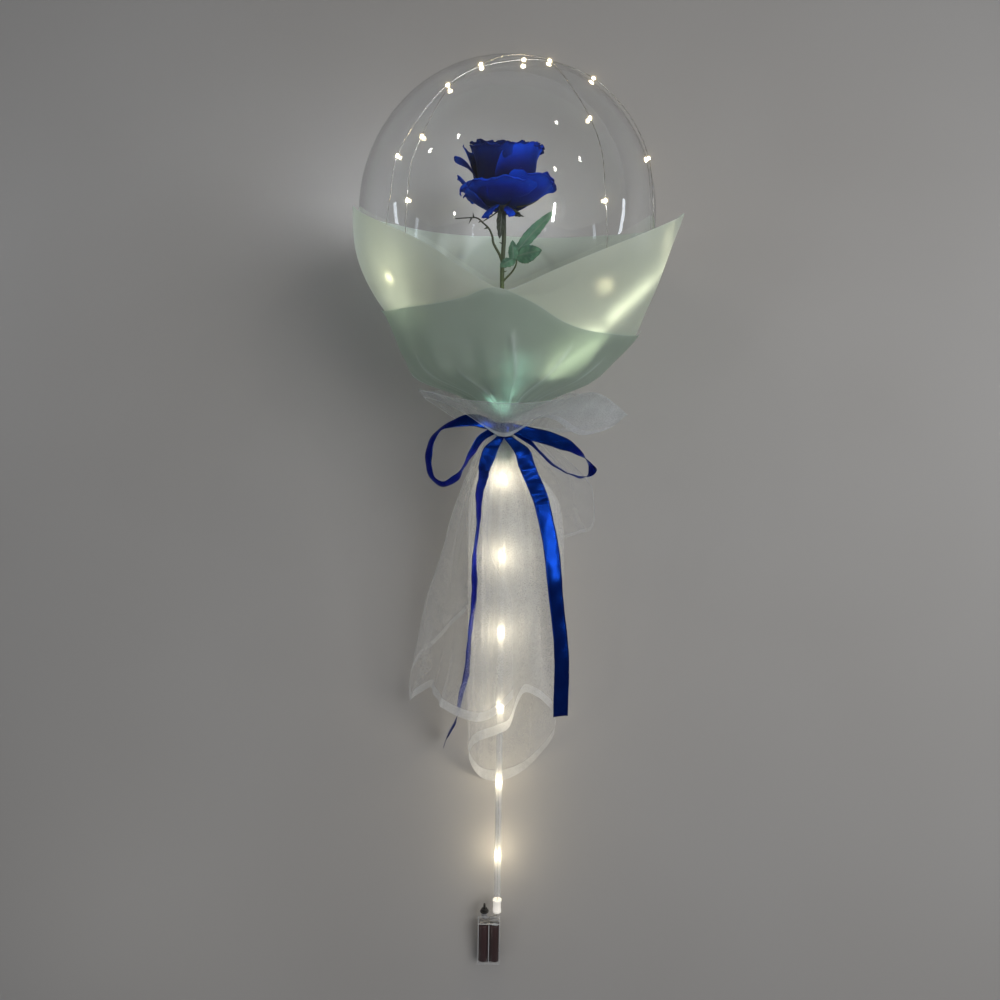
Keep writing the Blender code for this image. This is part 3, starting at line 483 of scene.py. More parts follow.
def joined(groups):
    """Several (points, faces) groups as one."""
    points, faces = [], []
    for some_points, some_faces in groups:
        start = len(points)
        points += some_points
        faces += [tuple(start + index for index in face) for face in some_faces]
    return points, faces


def rounded_block(low, high, edge, segments=3):
    """Points and faces of a box with rounded edges."""
    low, high = Vector(low), Vector(high)
    made = bmesh.new()
    bmesh.ops.create_cube(made, size=1.0)
    for vertex in made.verts:
        vertex.co = (low + high) / 2 + Vector(a * b for a, b in zip(vertex.co, high - low))
    bmesh.ops.bevel(made, geom=made.edges[:], offset=edge, segments=segments, profile=0.5, affect="EDGES")
    made.verts.index_update()
    points = [vertex.co.copy() for vertex in made.verts]
    faces = [tuple(vertex.index for vertex in face.verts) for face in made.faces]
    made.free()
    return points, faces


def fix_normals(piece, weld=0.0):
    """Turn every face of a closed piece outward, after joining points nearer than weld."""
    made = bmesh.new()
    made.from_mesh(piece.data)
    if weld:
        bmesh.ops.remove_doubles(made, verts=made.verts, dist=weld)
    bmesh.ops.recalc_face_normals(made, faces=made.faces)
    made.to_mesh(piece.data)
    made.free()
    return piece


def add_joined(name, groups, material, slot):
    """One piece from several (points, faces) groups."""
    points, faces = joined(groups)
    return add_mesh(name, points, faces, material, slot)


def add_turned(name, profile, steps, material, slot, x=0.0, body="root"):
    """A piece turned from a (radius, height) profile."""
    points, faces = lathe(profile, steps, x)
    return add_mesh(name, points, faces, material, slot, body=body)


def add_light(name, kind, power, colour, matrix, size):
    """A light. size is the two sides of an area light, or the radius of a point light."""
    data = bpy.data.lights.new(name, kind)
    data.energy = power
    data.color = colour
    if kind == "AREA":
        data.shape = "RECTANGLE"
        data.size, data.size_y = size
    else:
        data.shadow_soft_size = size
    light = bpy.data.objects.new(name, data)
    bpy.context.scene.collection.objects.link(light)
    light.matrix_world = matrix
    return light


# Balloon

SKIN = 0.0006


def taper_corner():
    """The bend between the round part and the neck, in radius and height."""
    angle = radians(TAPER_ANGLE)
    edge = Vector((BALLOON_RADIUS * sin(angle), BALLOON_CENTRE + BALLOON_RADIUS * cos(angle)))
    corner_radius = NECK_RADIUS + 0.07 * BALLOON_RADIUS
    slide = (edge.x - corner_radius) / -cos(angle)
    return edge, Vector((corner_radius, edge.y - slide * sin(angle)))


def balloon_surface(polar, clearance=0.0):
    """Radius and height of the balloon's skin, at an angle in degrees from its top."""
    if polar <= TAPER_ANGLE:
        angle = radians(polar)
        reach = BALLOON_RADIUS + clearance
        return Vector((reach * sin(angle), BALLOON_CENTRE + reach * cos(angle)))
    edge, corner = taper_corner()
    neck = Vector((NECK_RADIUS, NECK_TOP))
    t = (polar - TAPER_ANGLE) / (180.0 - TAPER_ANGLE)
    point = edge * (1 - t) ** 2 + corner * (2 * t * (1 - t)) + neck * t ** 2
    along = (corner - edge) * (1 - t) + (neck - corner) * t
    outward = Vector((-along.y, along.x)).normalized()
    return point + outward * clearance


def make_balloon():
    """A thin clear skin, open at its neck, gathered in fine pleats towards the neck."""
    steps, rounds = 96, 72
    outer, inner = [[balloon_surface(180.0 * ring / rounds, clearance) for ring in range(rounds + 1)]
                    for clearance in (0.0, -SKIN)]
    outer[0].x = inner[0].x = 0.0
    outer.append(Vector((NECK_RADIUS, NECK_BOTTOM)))
    inner.append(Vector((NECK_RADIUS - SKIN, NECK_BOTTOM)))
    points, faces = lathe([tuple(corner) for corner in outer + inner[::-1]], steps)
    laid = []
    for index, point in enumerate(points):
        radius = hypot(point.x, point.y)
        azimuth = atan2(point.y, point.x)
        gather = ease(BALLOON_RISE + 0.05, NECK_TOP + 0.01, point.z) * ease(NECK_RADIUS, 0.02, radius)
        if radius > 0:
            swell = 1 + 0.02 * gather * sin(16 * azimuth)
            point = Vector((point.x * swell, point.y * swell, point.z))
        inside = index >= len(points) // 2
        laid.append(above_floor(point, 0.0013 + (SKIN if inside else 0.0)))
    skin = add_mesh("balloon_skin", laid, faces, BALLOON_SKIN, "clear_balloon")
    fix_normals(skin)
    skin.visible_shadow = False
    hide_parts("balloon")


# Film wrap

FILM_PROFILE = [(TIE_RUN, 0.0, 0.0), (0.020, 0.014, 0.014), (0.038, 0.041, 0.048),
                (0.057, 0.090, 0.092), (0.085, 0.112, 0.124), (0.115, 0.127, 0.153),
                (0.145, 0.143, 0.167), (0.184, 0.163, 0.184), (0.237, 0.177, 0.203),
                (0.268, 0.180, 0.212), (0.300, 0.181, 0.214)]
BACK_SHEET_TOP = [(-180, 0.293), (-130, 0.285), (-98, 0.272), (-80, 0.264), (-60, 0.236), (-40, 0.206),
                  (-28, 0.186), (-18, 0.165), (-7, 0.147), (0, 0.141), (18, 0.162), (44, 0.200),
                  (70, 0.242), (90, 0.270), (108, 0.272), (140, 0.285), (180, 0.293)]
FRONT_SHEET_TOP = [(-90, 0.146), (-72, 0.137), (-36, 0.131), (-18, 0.135), (-5, 0.143), (9, 0.132),
                   (27, 0.113), (45, 0.106), (81, 0.115), (90, 0.126)]


def film_radius(azimuth, z):
    """Outer radius of the back sheet, with the pleats that open out above the tie."""
    if z <= 0.0:
        return GATHER_RADIUS + SKIRT_FLARE * max(0.0, -z - TIE_RUN)
    left, right = read_table(FILM_PROFILE, z)
    to_right = max(0.0, cos(radians(azimuth - 90.0))) ** 2
    radius = GATHER_RADIUS + left + (right - left) * to_right
    off_centre = z - BALLOON_CENTRE
    over_balloon = sqrt(max(0.0, BALLOON_RADIUS ** 2 - off_centre ** 2)) + FILM_OFF_BALLOON + 0.001
    pleats = ease(TIE_RUN, 0.04, z) * (1 - ease(0.06, 0.16, z))
    radius *= 1 + 0.035 * pleats * cos(radians(8.0 * azimuth))
    return max(radius, over_balloon)


# Sharp folds in the film: azimuth and height at both ends, half width in degrees, and height in metres.
FILM_FOLDS = [(3.0, 0.096, 8.5, 0.028, 2.2, 0.0040), (-30.0, 0.060, -12.0, 0.016, 3.0, 0.0032),
              (-62.0, 0.080, -40.0, 0.018, 3.5, 0.0032), (34.0, 0.088, 22.0, 0.020, 3.0, 0.0030),
              (66.0, 0.080, 48.0, 0.020, 3.5, 0.0030), (-100.0, 0.10, -78.0, 0.020, 4.0, 0.0030),
              (110.0, 0.10, 84.0, 0.020, 4.0, 0.0030), (150.0, 0.11, 128.0, 0.020, 4.0, 0.0030),
              (-150.0, 0.11, -122.0, 0.020, 4.0, 0.0030)]


def film_fold(azimuth, z):
    """Height and sharpness of the film's folds at a point."""
    rise, sharp = 0.0, 0.0
    for high_azimuth, high, low_azimuth, low, half, height in FILM_FOLDS:
        share = min(1.0, max(0.0, (z - low) / (high - low)))
        middle = low_azimuth + (high_azimuth - low_azimuth) * share
        ends = ease(low - 0.012, low + 0.006, z) * (1 - ease(high - 0.012, high + 0.010, z))
        off = abs(azimuth - middle) / (half * (1 + 0.8 * ease(0.05, 0.0, z)))
        if off < 3.0 and ends > 0.0:
            rise += height * ends * max(0.0, 1 - off / 1.5) ** 1.5
            sharp = max(sharp, ends * exp(-(off / 0.35) ** 2))
    return rise, sharp


def film_relief(azimuth, z):
    """Small outward relief of the film: fine pleats at the tie and soft buckles higher up."""
    low = ease(TIE_RUN, 0.025, z) * (1 - ease(0.05, 0.11, z))
    fine = 0.0012 * low * sin(radians(23.0 * azimuth + 40.0 * sin(radians(3 * azimuth))))
    buckle = sin(radians(5 * azimuth) + 30.0 * z) * sin(radians(2 * azimuth) - 22.0 * z)
    return fine + 0.0016 * ease(0.05, 0.12, z) * buckle + film_fold(azimuth, z)[0]


def film_fold_highlight(azimuth, z):
    """How strongly the film is creased at a point, for the painted highlight along its folds."""
    low = ease(0.0, 0.02, z) * (1 - ease(0.03, 0.07, z))
    fine = low * max(0.0, cos(radians(23.0 * azimuth + 40.0 * sin(radians(3 * azimuth))))) ** 6
    return min(1.0, max(0.3 * fine, 0.8 * film_fold(azimuth, z)[1]))


def film_sheet(name, span, top_edge, lift, node, columns, look):
    """A sheet of film over a span of azimuths. Its last row is a narrow rim along the top edge, painted pale
    as a highlight.
    """
    first, last = span
    closed = last - first > 359.0
    bottom, rows = -FILM_SKIRT, 100
    # The rim's row gets a painted highlight.
    rim, rim_highlight = 0.0009, 0.6

    def height(azimuth, v):
        top = read_table(top_edge, azimuth)[0]
        if v > 1 - 0.5 / rows:
            return top
        return bottom + (top - rim - bottom) * (v * rows / (rows - 1)) ** 0.9

    def point(u, v):
        azimuth = first + (last - first) * u
        z = height(azimuth, v)
        radius = film_radius(azimuth, z) + lift(z) + film_relief(azimuth, z)
        return above_floor(around(azimuth, radius - 0.0004, z), 0.0002)

    def crease(u, v):
        azimuth = first + (last - first) * u
        if v > 1 - 0.5 / rows:
            return rim_highlight
        return film_fold_highlight(azimuth, height(azimuth, v))

    piece = grid_piece(name, columns, rows, point, look, "frosted_film", closed=closed,
                       values={"crease": crease})
    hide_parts(node)


def make_film():
    film_sheet("film_back", (-180.0, 180.0), BACK_SHEET_TOP, lambda z: 0.0, "wrap_back", 320, LIT_BACK_FILM)
    film_sheet("film_front", (-90.0, 90.0), FRONT_SHEET_TOP,
               lambda z: 0.0015 + 0.0025 * ease(TIE_RUN, 0.02, z), "wrap_front", 180, SHADED_FRONT_FILM)


# Where the string's lights glow through the film: azimuth and height at both ends of a soft streak, how
# far inside the film, width, power, and whether the light is greenish.
FILM_GLOWS = [
    (86, 0.225, 66, 0.170, 0.013, 0.012, 0.011, 0.0), (66, 0.172, 50, 0.122, 0.012, 0.012, 0.012, 0.0),
    (50, 0.106, 30, 0.066, 0.012, 0.010, 0.046, 0.0), (-46, 0.205, -64, 0.140, 0.032, 0.050, 0.040, 0.0),
    (7, 0.082, 9, 0.040, 0.008, 0.003, 0.012, 0.9), (3, 0.034, 0, 0.022, 0.006, 0.004, 0.012, 1.0),
    (-26, 0.040, -12, 0.026, 0.008, 0.005, 0.010, 0.9)]


def make_film_glows():
    """Strips of light between the balloon and the film, hidden from the camera."""
    for high_azimuth, high, low_azimuth, low, inside, width, power, green in FILM_GLOWS:
        ends = [LAY @ around(azimuth, film_radius(azimuth, z) - inside, z)
                for azimuth, z in ((high_azimuth, high), (low_azimuth, low))]
        out = (LAY.to_3x3() @ around((high_azimuth + low_azimuth) / 2, 1.0, 0.0)).normalized()
        along = ends[1] - ends[0]
        out = (out - along * (out.dot(along) / along.length_squared)).normalized()
        side = along.normalized()
        turned = Matrix((side, side.cross(out), -out)).transposed().to_4x4()
        colour = (1.0 - 0.45 * green, 0.93 + 0.07 * green, 0.66 + 0.20 * green)
        glow = add_light("film_glow", "AREA", power, colour,
                         Matrix.Translation((ends[0] + ends[1]) / 2) @ turned, (along.length, width))
        glow.visible_camera = False
        glow.visible_glossy = False


# Tube, and a string of lights in it and over the balloon

def make_tube():
    inner = TUBE_RADIUS - TUBE_WALL
    profile = [(inner, TUBE_BOTTOM), (inner, TUBE_TOP), (TUBE_RADIUS, TUBE_TOP), (TUBE_RADIUS, TUBE_BOTTOM)]
    tube = add_turned("clear_tube", profile + profile[:1], 40, CLEAR_TUBE, "clear_hard_plastic")
    fix_normals(tube, 0.000001)
    tube.data.set_sharp_from_angle(angle=radians(40))
    tube.visible_shadow = False
    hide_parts("tube")


FRONT_LOOP = [
    (-40, 172, 0), (-42, 152, 0), (-42, 134, 1), (-40, 118, 0), (-39, 109, 0), (-35.6, 97, 1),
    (-33.8, 86, 0), (-30.4, 77.3, 1), (-26.5, 66, 0), (-22, 55, 0), (-13.4, 46.7, 1), (-5, 40.6, 0),
    (4, 37.4, 0), (13.3, 37.6, 0), (21.8, 39.6, 1), (24.5, 55, 0), (29.3, 69.8, 1), (32.4, 82, 0),
    (34.1, 96.5, 1), (38, 109, 0), (42, 122, 1), (48, 132, 0), (54, 143, 1), (52, 158, 0), (46, 172, 0)]
OVER_LOOP = [
    (-58, 172, 0), (-58, 152, 1), (-56, 134, 0), (-53, 119, 1), (-49, 106, 0), (-43.5, 94, 0),
    (-40.6, 81.6, 1), (-33, 69.5, 0), (-24.5, 58, 1), (-12.8, 50, 0), (6.5, 44.7, 1), (25, 42.7, 0),
    (50, 42, 1), (61, 50, 0), (66, 60, 0), (67, 72.7, 1), (64.5, 87, 0), (70, 100.5, 1), (76, 114, 0),
    (79, 127, 1), (76, 142, 0), (72, 156, 0), (68, 164, 1), (67, 171, 0)]


def light_route():
    """The wire's path from the box to its end, and the marks where a bead sits."""
    route = [(Vector((0.0, 0.0, BOX_TOP - 2 * BOX_WALL)), 0)]
    for index in reversed(range(6)):
        z = -0.064 - index * 0.100
        route += [(Vector((0.0, 0.0, z - 0.05)), 0), (Vector((0.0, 0.0, z)), 1)]
    route += [(Vector((0.0, 0.0, -0.020)), 0), (Vector((0.0, 0.0, 0.004)), 0)]
    beside_neck = NECK_RADIUS + 0.0035
    route += [(Vector((0.0, -0.0015, 0.013)), 0), (Vector((-0.0005, -0.0075, 0.020)), 0),
              (around(-18.0, beside_neck, 0.030), 1), (around(-34.0, beside_neck, 0.040), 0)]
    for loop, lift in ((FRONT_LOOP, 0.0), (OVER_LOOP, 0.0016)):
        if lift:
            route += [(around(azimuth, beside_neck + lift, 0.040), 0)
                      for azimuth in (70, 115, 160, 205, 250, 285)]
        for azimuth, polar, bead in loop:
            radius, z = balloon_surface(polar, 0.0015 + lift * (1 - ease(55.0, 80.0, polar)))
            route.append((around(azimuth, radius, z), bead))
    return route


BEAD_LENGTH = 0.0040
BEAD_RADIUS = 0.0013
STRAND_RADIUS = 0.00027
LAMP_IN_TUBE = 0.052          # in watts
LAMP_ON_BALLOON = 0.010
LAMP_UNDER_FILM = 0.0003
UNDER_FILM = 0.19             # the height below which the film covers the beads on the balloon


def make_light_string():
    """A thin twisted wire, a small resin drop at each light, and a lamp that lights what is near it."""
    samples = 10
    route = light_route()
    path = smooth_path([point for point, bead in route], samples)
    strands = []
    for phase in (0.0, pi):
        strand = []
        for index, point in enumerate(path):
            along = (path[min(index + 1, len(path) - 1)] - path[max(index - 1, 0)]).normalized()
            side = along.cross(Vector((0.31, 0.77, 0.55))).normalized()
            other = along.cross(side)
            twist = index * 1.3 + phase
            strand.append(point + (side * cos(twist) + other * sin(twist)) * 0.00028)
        strands.append(tube_along(strand, STRAND_RADIUS, 5))
    wire = add_joined("light_wire", strands, WIRE, "light_string")
    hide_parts("light_string")

    drops = []
    for index, (point, bead) in enumerate(route):
        if not bead:
            continue
        along = (path[index * samples + 1] - path[index * samples - 1]).normalized()
        ring = [point + along * (BEAD_LENGTH * (t / 8 - 0.5)) for t in range(9)]
        sizes = [BEAD_RADIUS * sqrt(max(0.03, 1 - (2 * t / 8 - 1) ** 2)) for t in range(9)]
        drops.append(tube_along(ring, sizes, 12))
        in_tube = hypot(point.x, point.y) < TUBE_RADIUS
        power = LAMP_IN_TUBE if in_tube else LAMP_UNDER_FILM if point.z < UNDER_FILM else LAMP_ON_BALLOON
        outward = Vector((point.x, point.y, 0.3 * (point.z - BALLOON_CENTRE))).normalized()
        place = LAY @ (point if in_tube else point + outward * 0.0005)
        add_light("bead_lamp", "POINT", power, (1.0, 0.86, 0.60), Matrix.Translation(place), 0.003)
    beads = add_joined("light_beads", drops, GLOW, "light_string")
    beads.visible_shadow = False
    beads.visible_diffuse = False


# Rose

ROSE_X = -0.0045
ROSE_Z = 0.275
CUP_HEIGHT = 60               # in mm; petals that end above it make up the rose's cup
CUP_SPIRAL = 36.0             # how far round the rim of a cup petal leads its foot, in degrees

# Petal rings from the inside out: count, first azimuth, half width in degrees, ruffle in mm, how much
# the front is lower, how light the petal is painted (the cup's rings darker, as painted shade inside
# the rose), and the petal's middle line as (radius, height) in mm.
PETAL_RINGS = [
    (3, 15, 80, 0.5, 0.05, 0.42, [(1, 4), (8, 20), (12, 44), (10, 66), (4, 77)]),
    (3, 70, 75, 0.8, 0.10, 0.42, [(2, 4), (12, 18), (19, 40), (19, 64), (15, 78)]),
    (4, 35, 64, 1.2, 0.13, 0.42, [(3, 3), (16, 15), (25, 36), (27, 58), (26, 74), (30, 80)]),
    (4, 80, 60, 1.8, 0.16, 0.42, [(4, 2), (20, 12), (30, 30), (33, 52), (35, 70), (40, 77), (43, 76)]),
    (3, -62, 58, 2.0, 0.17, 0.42, [(5, 2), (23, 11), (31, 24), (34, 42), (37, 58), (42, 70), (47, 73),
                                   (49, 70)]),
    (2, 18, 50, 1.8, 0.17, 1.0, [(5, 2), (24, 11), (34, 24), (38, 42), (40, 58), (44, 71), (47, 74),
                                 (48, 71)]),
    (1, -70, 42, 2.2, 0.10, 1.0, [(6, 0), (24, 5), (38, 12), (47, 19), (53, 22), (55, 19), (54, 14)]),
    (1, 54, 48, 1.8, 0.0, 1.0, [(6, 0), (24, 4), (38, 10), (48, 17), (56, 23), (61, 25), (63, 22)]),
    (1, -8, 60, 1.5, 0.0, 1.0, [(6, 1), (22, 4), (34, 8), (44, 13), (51, 17), (55, 18), (58, 14)]),
    (1, 86, 42, 1.6, 0.0, 1.0, [(6, 0), (26, 5), (40, 13), (50, 21), (58, 28), (63, 30), (66, 27)]),
    (1, 132, 46, 2.0, 0.0, 1.0, [(6, 0), (26, 7), (38, 18), (47, 29), (53, 38), (57, 41), (59, 39)]),
    (1, 184, 48, 2.0, 0.0, 1.0, [(6, 0), (25, 7), (37, 18), (45, 30), (52, 39), (56, 43), (59, 41)]),
    (1, 236, 46, 2.0, 0.0, 1.0, [(6, 0), (25, 6), (37, 15), (46, 25), (52, 33), (56, 36), (58, 34)]),
    (1, 160, 44, 1.8, 0.0, 1.0, [(6, -2), (22, 0), (34, 6), (43, 14), (49, 19), (51, 17)]),
    (1, 262, 40, 1.8, 0.0, 1.0, [(6, -2), (22, -1), (33, 4), (42, 11), (48, 15), (50, 13)]),
    (1, -92, 17, 0.8, 0.0, 1.0, [(33, 34), (42, 45), (50, 52), (58, 56), (64, 58)]),
    (1, -50, 34, 1.0, 0.0, 1.0, [(8, 0), (17, -2), (25, -9), (29, -19)]),
    (1, 34, 32, 1.0, 0.0, 1.0, [(7, 0), (12, -4), (15, -9), (16, -15)])]


def make_petal(name, azimuth, half, ruffle, front_drop, ring_painted_shade, line, draw):
    """One petal, wrapped about the rose's axis, with a rolled, ruffled and ragged rim."""
    path = smooth_path([Vector((radius, height, 0.0)) for radius, height in line], 8)
    phases = [draw.uniform(0, tau) for _ in range(6)]
    tuck = draw.uniform(0.6, 1.4)
    lift = draw.uniform(-1.5, 1.2)
    in_cup = line[-1][1] > CUP_HEIGHT
    spiral = CUP_SPIRAL if in_cup else 0.0

    def point(u, v):
        side = 2 * u - 1
        edge = ease(0.72, 1.0, v)
        reach = v * (1 - 0.06 * side ** 2 - 0.15 * side ** 4)
        reach -= 0.035 * edge * bump_at(0.0, 0.12, side + 0.25 * sin(phases[0]))
        reach -= 0.018 * edge * (1 + sin(11 * side + phases[4])) * (1 + 0.5 * sin(27 * side + phases[5]))
        at = max(0.0, reach) * (len(path) - 1)
        low = min(int(at), len(path) - 2)
        middle = path[low].lerp(path[low + 1], at - low)
        spread = 0.38 + 0.62 * ease(0.0, 0.5, v)
        angle = radians(azimuth + side * half * spread * (1 - 0.22 * ease(0.72, 1.0, v)) + spiral * v * v)
        rim = ease(0.50, 1.0, v)
        radius = middle.x + tuck * side * 1.6 * ease(0.1, 0.5, v) + 2.6 * side ** 4 * rim
        wave = sin(7 * angle + phases[1]) + 0.8 * sin(13 * angle + phases[2])
        wave += 0.4 * sin(29 * angle + phases[4])
        radius += ruffle * rim * wave * 0.8
        radius += 0.8 * ease(0.2, 0.5, v) * cos(3.5 * side + phases[5]) - 0.5 * ease(0.2, 0.7, v) * abs(side)
        height = middle.y * (1 - front_drop * max(0.0, cos(angle))) + lift * rim
        height += ruffle * rim * (0.9 * sin(9 * angle + phases[3]) + 0.5 * sin(23 * angle + phases[2]))
        radius = 0.001 * max(0.5, radius)
        return Vector((ROSE_X + radius * sin(angle), -radius * cos(angle), ROSE_Z + 0.001 * height))

    def painted_cup_shade(u, v):
        """Painted shade: how much the petal's colour is darkened, strongly on the cup's petals low down,
        where shade falls between the cup and the saucer petals.
        """
        deep = 0.30 + 0.70 * ease(0.42, 0.80, v - 0.10 * (2 * u - 1)) if in_cup else 1.0
        return ring_painted_shade * deep

    wide = max(16, round(half * 0.9))
    return grid_piece(name, 2 * (wide // 2), 28, point, PETAL, None, (0.08, 0.08),
                      values={"along": lambda u, v: v, "painted_cup_shade": painted_cup_shade}, thickness=0.0006)


def joined_piece(name, pieces):
    """Several pieces with one material as one."""
    bpy.context.view_layer.update()
    graph = bpy.context.evaluated_depsgraph_get()
    made = bmesh.new()
    for piece in pieces:
        mesh = bpy.data.meshes.new_from_object(piece.evaluated_get(graph))
        made.from_mesh(mesh)
        bpy.data.meshes.remove(mesh)
    mesh = bpy.data.meshes.new(name)
    made.to_mesh(mesh)
    made.free()
    mesh.materials.append(pieces[0].data.materials[0])
    mesh.shade_smooth()
    for piece in pieces:
        bpy.data.objects.remove(piece, do_unlink=True)
    whole = bpy.data.objects.new(name, mesh)
    bpy.context.scene.collection.objects.link(whole)
    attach(whole, "root")
    return whole


def make_leaf(name, base, tip, width, droop, roll, look, teeth=0.0):
    """A pointed leaf from its base to its tip, folded a little along its midrib, with side veins."""
    base, tip = Vector(base), Vector(tip)
    along = tip - base
    length = along.length
    forward = along.normalized()
    across = forward.cross(Vector((0.0, -1.0, 0.0))).normalized()
    across = (Matrix.Rotation(roll, 3, forward) @ across).normalized()
    over = across.cross(forward).normalized()

    def shape(v):
        return sin(pi * v ** 0.8) ** 0.75 if 0 < v < 1 else 0.02

    def point(u, v):
        side = 2 * u - 1
        half = width / 2 * max(0.03, shape(v)) * (1 + teeth * sin(60 * v) * abs(side) ** 3)
        rise = -droop * sin(pi * v * 0.9) + 0.25 * half * abs(side) ** 1.5
        ripple = 0.0006 * sin(28 * v + 2 * side) * abs(side)
        return base + forward * (length * v) + across * (half * side) - over * (rise + ripple)

    def vein(u, v):
        side = abs(2 * u - 1)
        rib = ease(0.14, 0.02, side) if side < 0.14 else 0.0
        branch = 0.7 * max(0.0, cos(2 * pi * (v * 7 - side * 1.4))) ** 14
        return min(1.0, max(rib, branch))

    return grid_piece(name, 20, 36, point, look, None, (width, length), values={"vein": vein},
                      thickness=0.0005)


# Base, tip, width, droop and roll of each leaf
LEAVES = [((0.0100, -0.008, 0.2165), (0.0590, -0.020, 0.2670), 0.0150, -0.005, 0.35),
          ((0.0110, -0.010, 0.2120), (0.0430, -0.026, 0.2160), 0.0225, 0.002, -0.15),
          ((0.0100, -0.010, 0.2100), (-0.0080, -0.018, 0.1965), 0.0150, 0.002, 0.4),
          ((0.0090, -0.010, 0.2060), (0.0070, -0.014, 0.2310), 0.0130, 0.001, -0.3)]
# Azimuth, outward reach, rise and width of each sepal
SEPALS = [(-28, 0.006, -0.038, 0.0115), (62, 0.022, -0.011, 0.0105), (115, 0.024, -0.004, 0.0080),
          (185, 0.017, -0.016, 0.0085), (255, 0.022, -0.012, 0.0080)]
# Points, radius at both ends and number of sides: the stem, its side shoot, the leaf stalk, two leaf
# joints and a thin sepal
STEMS = [
    ([(0.0, 0.0, 0.061), (-0.0035, 0.001, 0.115), (-0.0052, 0.0, 0.173), (-0.005, 0.0, 0.205),
      (-0.0036, 0.0, 0.239), (-0.0042, 0.0, ROSE_Z - 0.004)], 0.0028, 0.0027, 10),
    ([(-0.0050, 0.0, 0.2060), (-0.0087, 0.0, 0.2164), (-0.0166, -0.002, 0.2302), (-0.0181, -0.003, 0.2381),
      (-0.0223, -0.005, 0.2470), (-0.0294, -0.006, 0.2534), (-0.0377, -0.008, 0.2592),
      (-0.0501, -0.010, 0.2585), (-0.0640, -0.012, 0.2568)], 0.0019, 0.0006, 10),
    ([(-0.0048, 0.0, 0.176), (-0.0033, -0.001, 0.184), (0.0077, -0.004, 0.1957), (0.0125, -0.008, 0.2060),
      (0.0114, -0.008, 0.2220)], 0.0014, 0.0009, 10),
    ([(0.0118, -0.0085, 0.2075), (0.0150, -0.0105, 0.2130)], 0.0009, 0.0007, 10),
    ([(0.0118, -0.0085, 0.2075), (0.0080, -0.0110, 0.2090)], 0.0009, 0.0007, 10),
    ([(0.012, -0.005, 0.2740), (0.0271, -0.010, 0.2755), (0.0386, -0.014, 0.2806)], 0.0010, 0.0004, 10)]
# Foot and point of each thorn
THORNS = [((-0.0415, -0.0085, 0.2592), (-0.0425, -0.0095, 0.2655)),
          ((-0.0440, -0.009, 0.2592), (-0.0477, -0.010, 0.2510)),
          ((-0.0330, -0.007, 0.2560), (-0.0355, -0.012, 0.2520)),
          ((-0.0240, -0.005, 0.2486), (-0.0290, -0.004, 0.2470)),
          ((-0.0040, 0.0, 0.2300), (-0.0095, 0.002, 0.2325)),
          ((-0.0050, 0.0, 0.1950), (0.0008, 0.002, 0.1975)),
          ((-0.0048, 0.0, 0.1560), (-0.0105, -0.002, 0.1590))]
# Radius and height of the hip under the rose
ROSE_HIP = [(0.0, -0.012), (0.0032, -0.0105), (0.0052, -0.006), (0.0064, -0.001), (0.0070, 0.003),
            (0.0, 0.004)]


def make_rose():
    """The artificial rose, its leaves, sepals and thorny stem."""
    draw = random.Random(7)
    petals = []
    for ring, (count, first, half, ruffle, front_drop, painted_cup_shade, line) in enumerate(PETAL_RINGS):
        for index in range(count):
            azimuth = first + 360.0 * index / count + draw.uniform(-5, 5) * (count > 1)
            scaled = [(radius * (1 + 0.02 * (index % 2)), height) for radius, height in line]
            name = f"petal_{ring}_{index}"
            petals.append(make_petal(name, azimuth, half, ruffle, front_drop, painted_cup_shade, scaled, draw))
    joined_piece("rose_petals", petals)

    leaves = [make_leaf(f"leaf_{index}", base, tip, width, droop, roll, LEAF, 0.05)
              for index, (base, tip, width, droop, roll) in enumerate(LEAVES)]
    joined_piece("rose_leaves", leaves)

    sepals = []
    for index, (azimuth, reach, fall, width) in enumerate(SEPALS):
        start = Vector((ROSE_X, 0.0, ROSE_Z - 0.003)) + around(azimuth, 0.0045, 0.0)
        end = start + around(azimuth, reach, fall)
        sepals.append(make_leaf(f"sepal_{index}", start, end, width, 0.001, radians(azimuth), DARK_LEAF))
    joined_piece("rose_sepals", sepals)

    groups = []
    for points, first, last, sides in STEMS + [([foot, point], 0.0014, 0.0002, 6) for foot, point in THORNS]:
        path = smooth_path([Vector(point) for point in points], 6)
        sizes = [first + (last - first) * index / (len(path) - 1) for index in range(len(path))]
        groups.append(tube_along(path, sizes, sides))
    groups.append(lathe([(radius, ROSE_Z + height) for radius, height in ROSE_HIP], 20, ROSE_X))
    points, faces = joined(groups)
    uv = [(0.0, min(1.0, max(0.0, (point.z - 0.14) / 0.12))) for point in points]
    fix_normals(add_mesh("rose_stem", points, faces, STEM, None, uv))


# Tulle

INNER_TULLE = 0.0106
OUTER_TULLE = 0.0119
SINGLE_NET = 0.18
GATHERED_NET = 0.75
HEM_ROWS = 10             # rows of each net's grid that make up its hem


def net_cover(gathering):
    """How much of what is behind the net it covers, from how closely it is gathered, 0 to 1."""
    return SINGLE_NET + (GATHERED_NET - SINGLE_NET) * min(1.0, max(0.0, gathering))


def hem_first(v, rows, share):
    """Spread the rows so that the first HEM_ROWS of them make up the given share."""
    start = HEM_ROWS / rows
    if v < start:
        return v / start * share
    return share + (v - start) / (1 - start) * (1 - share)


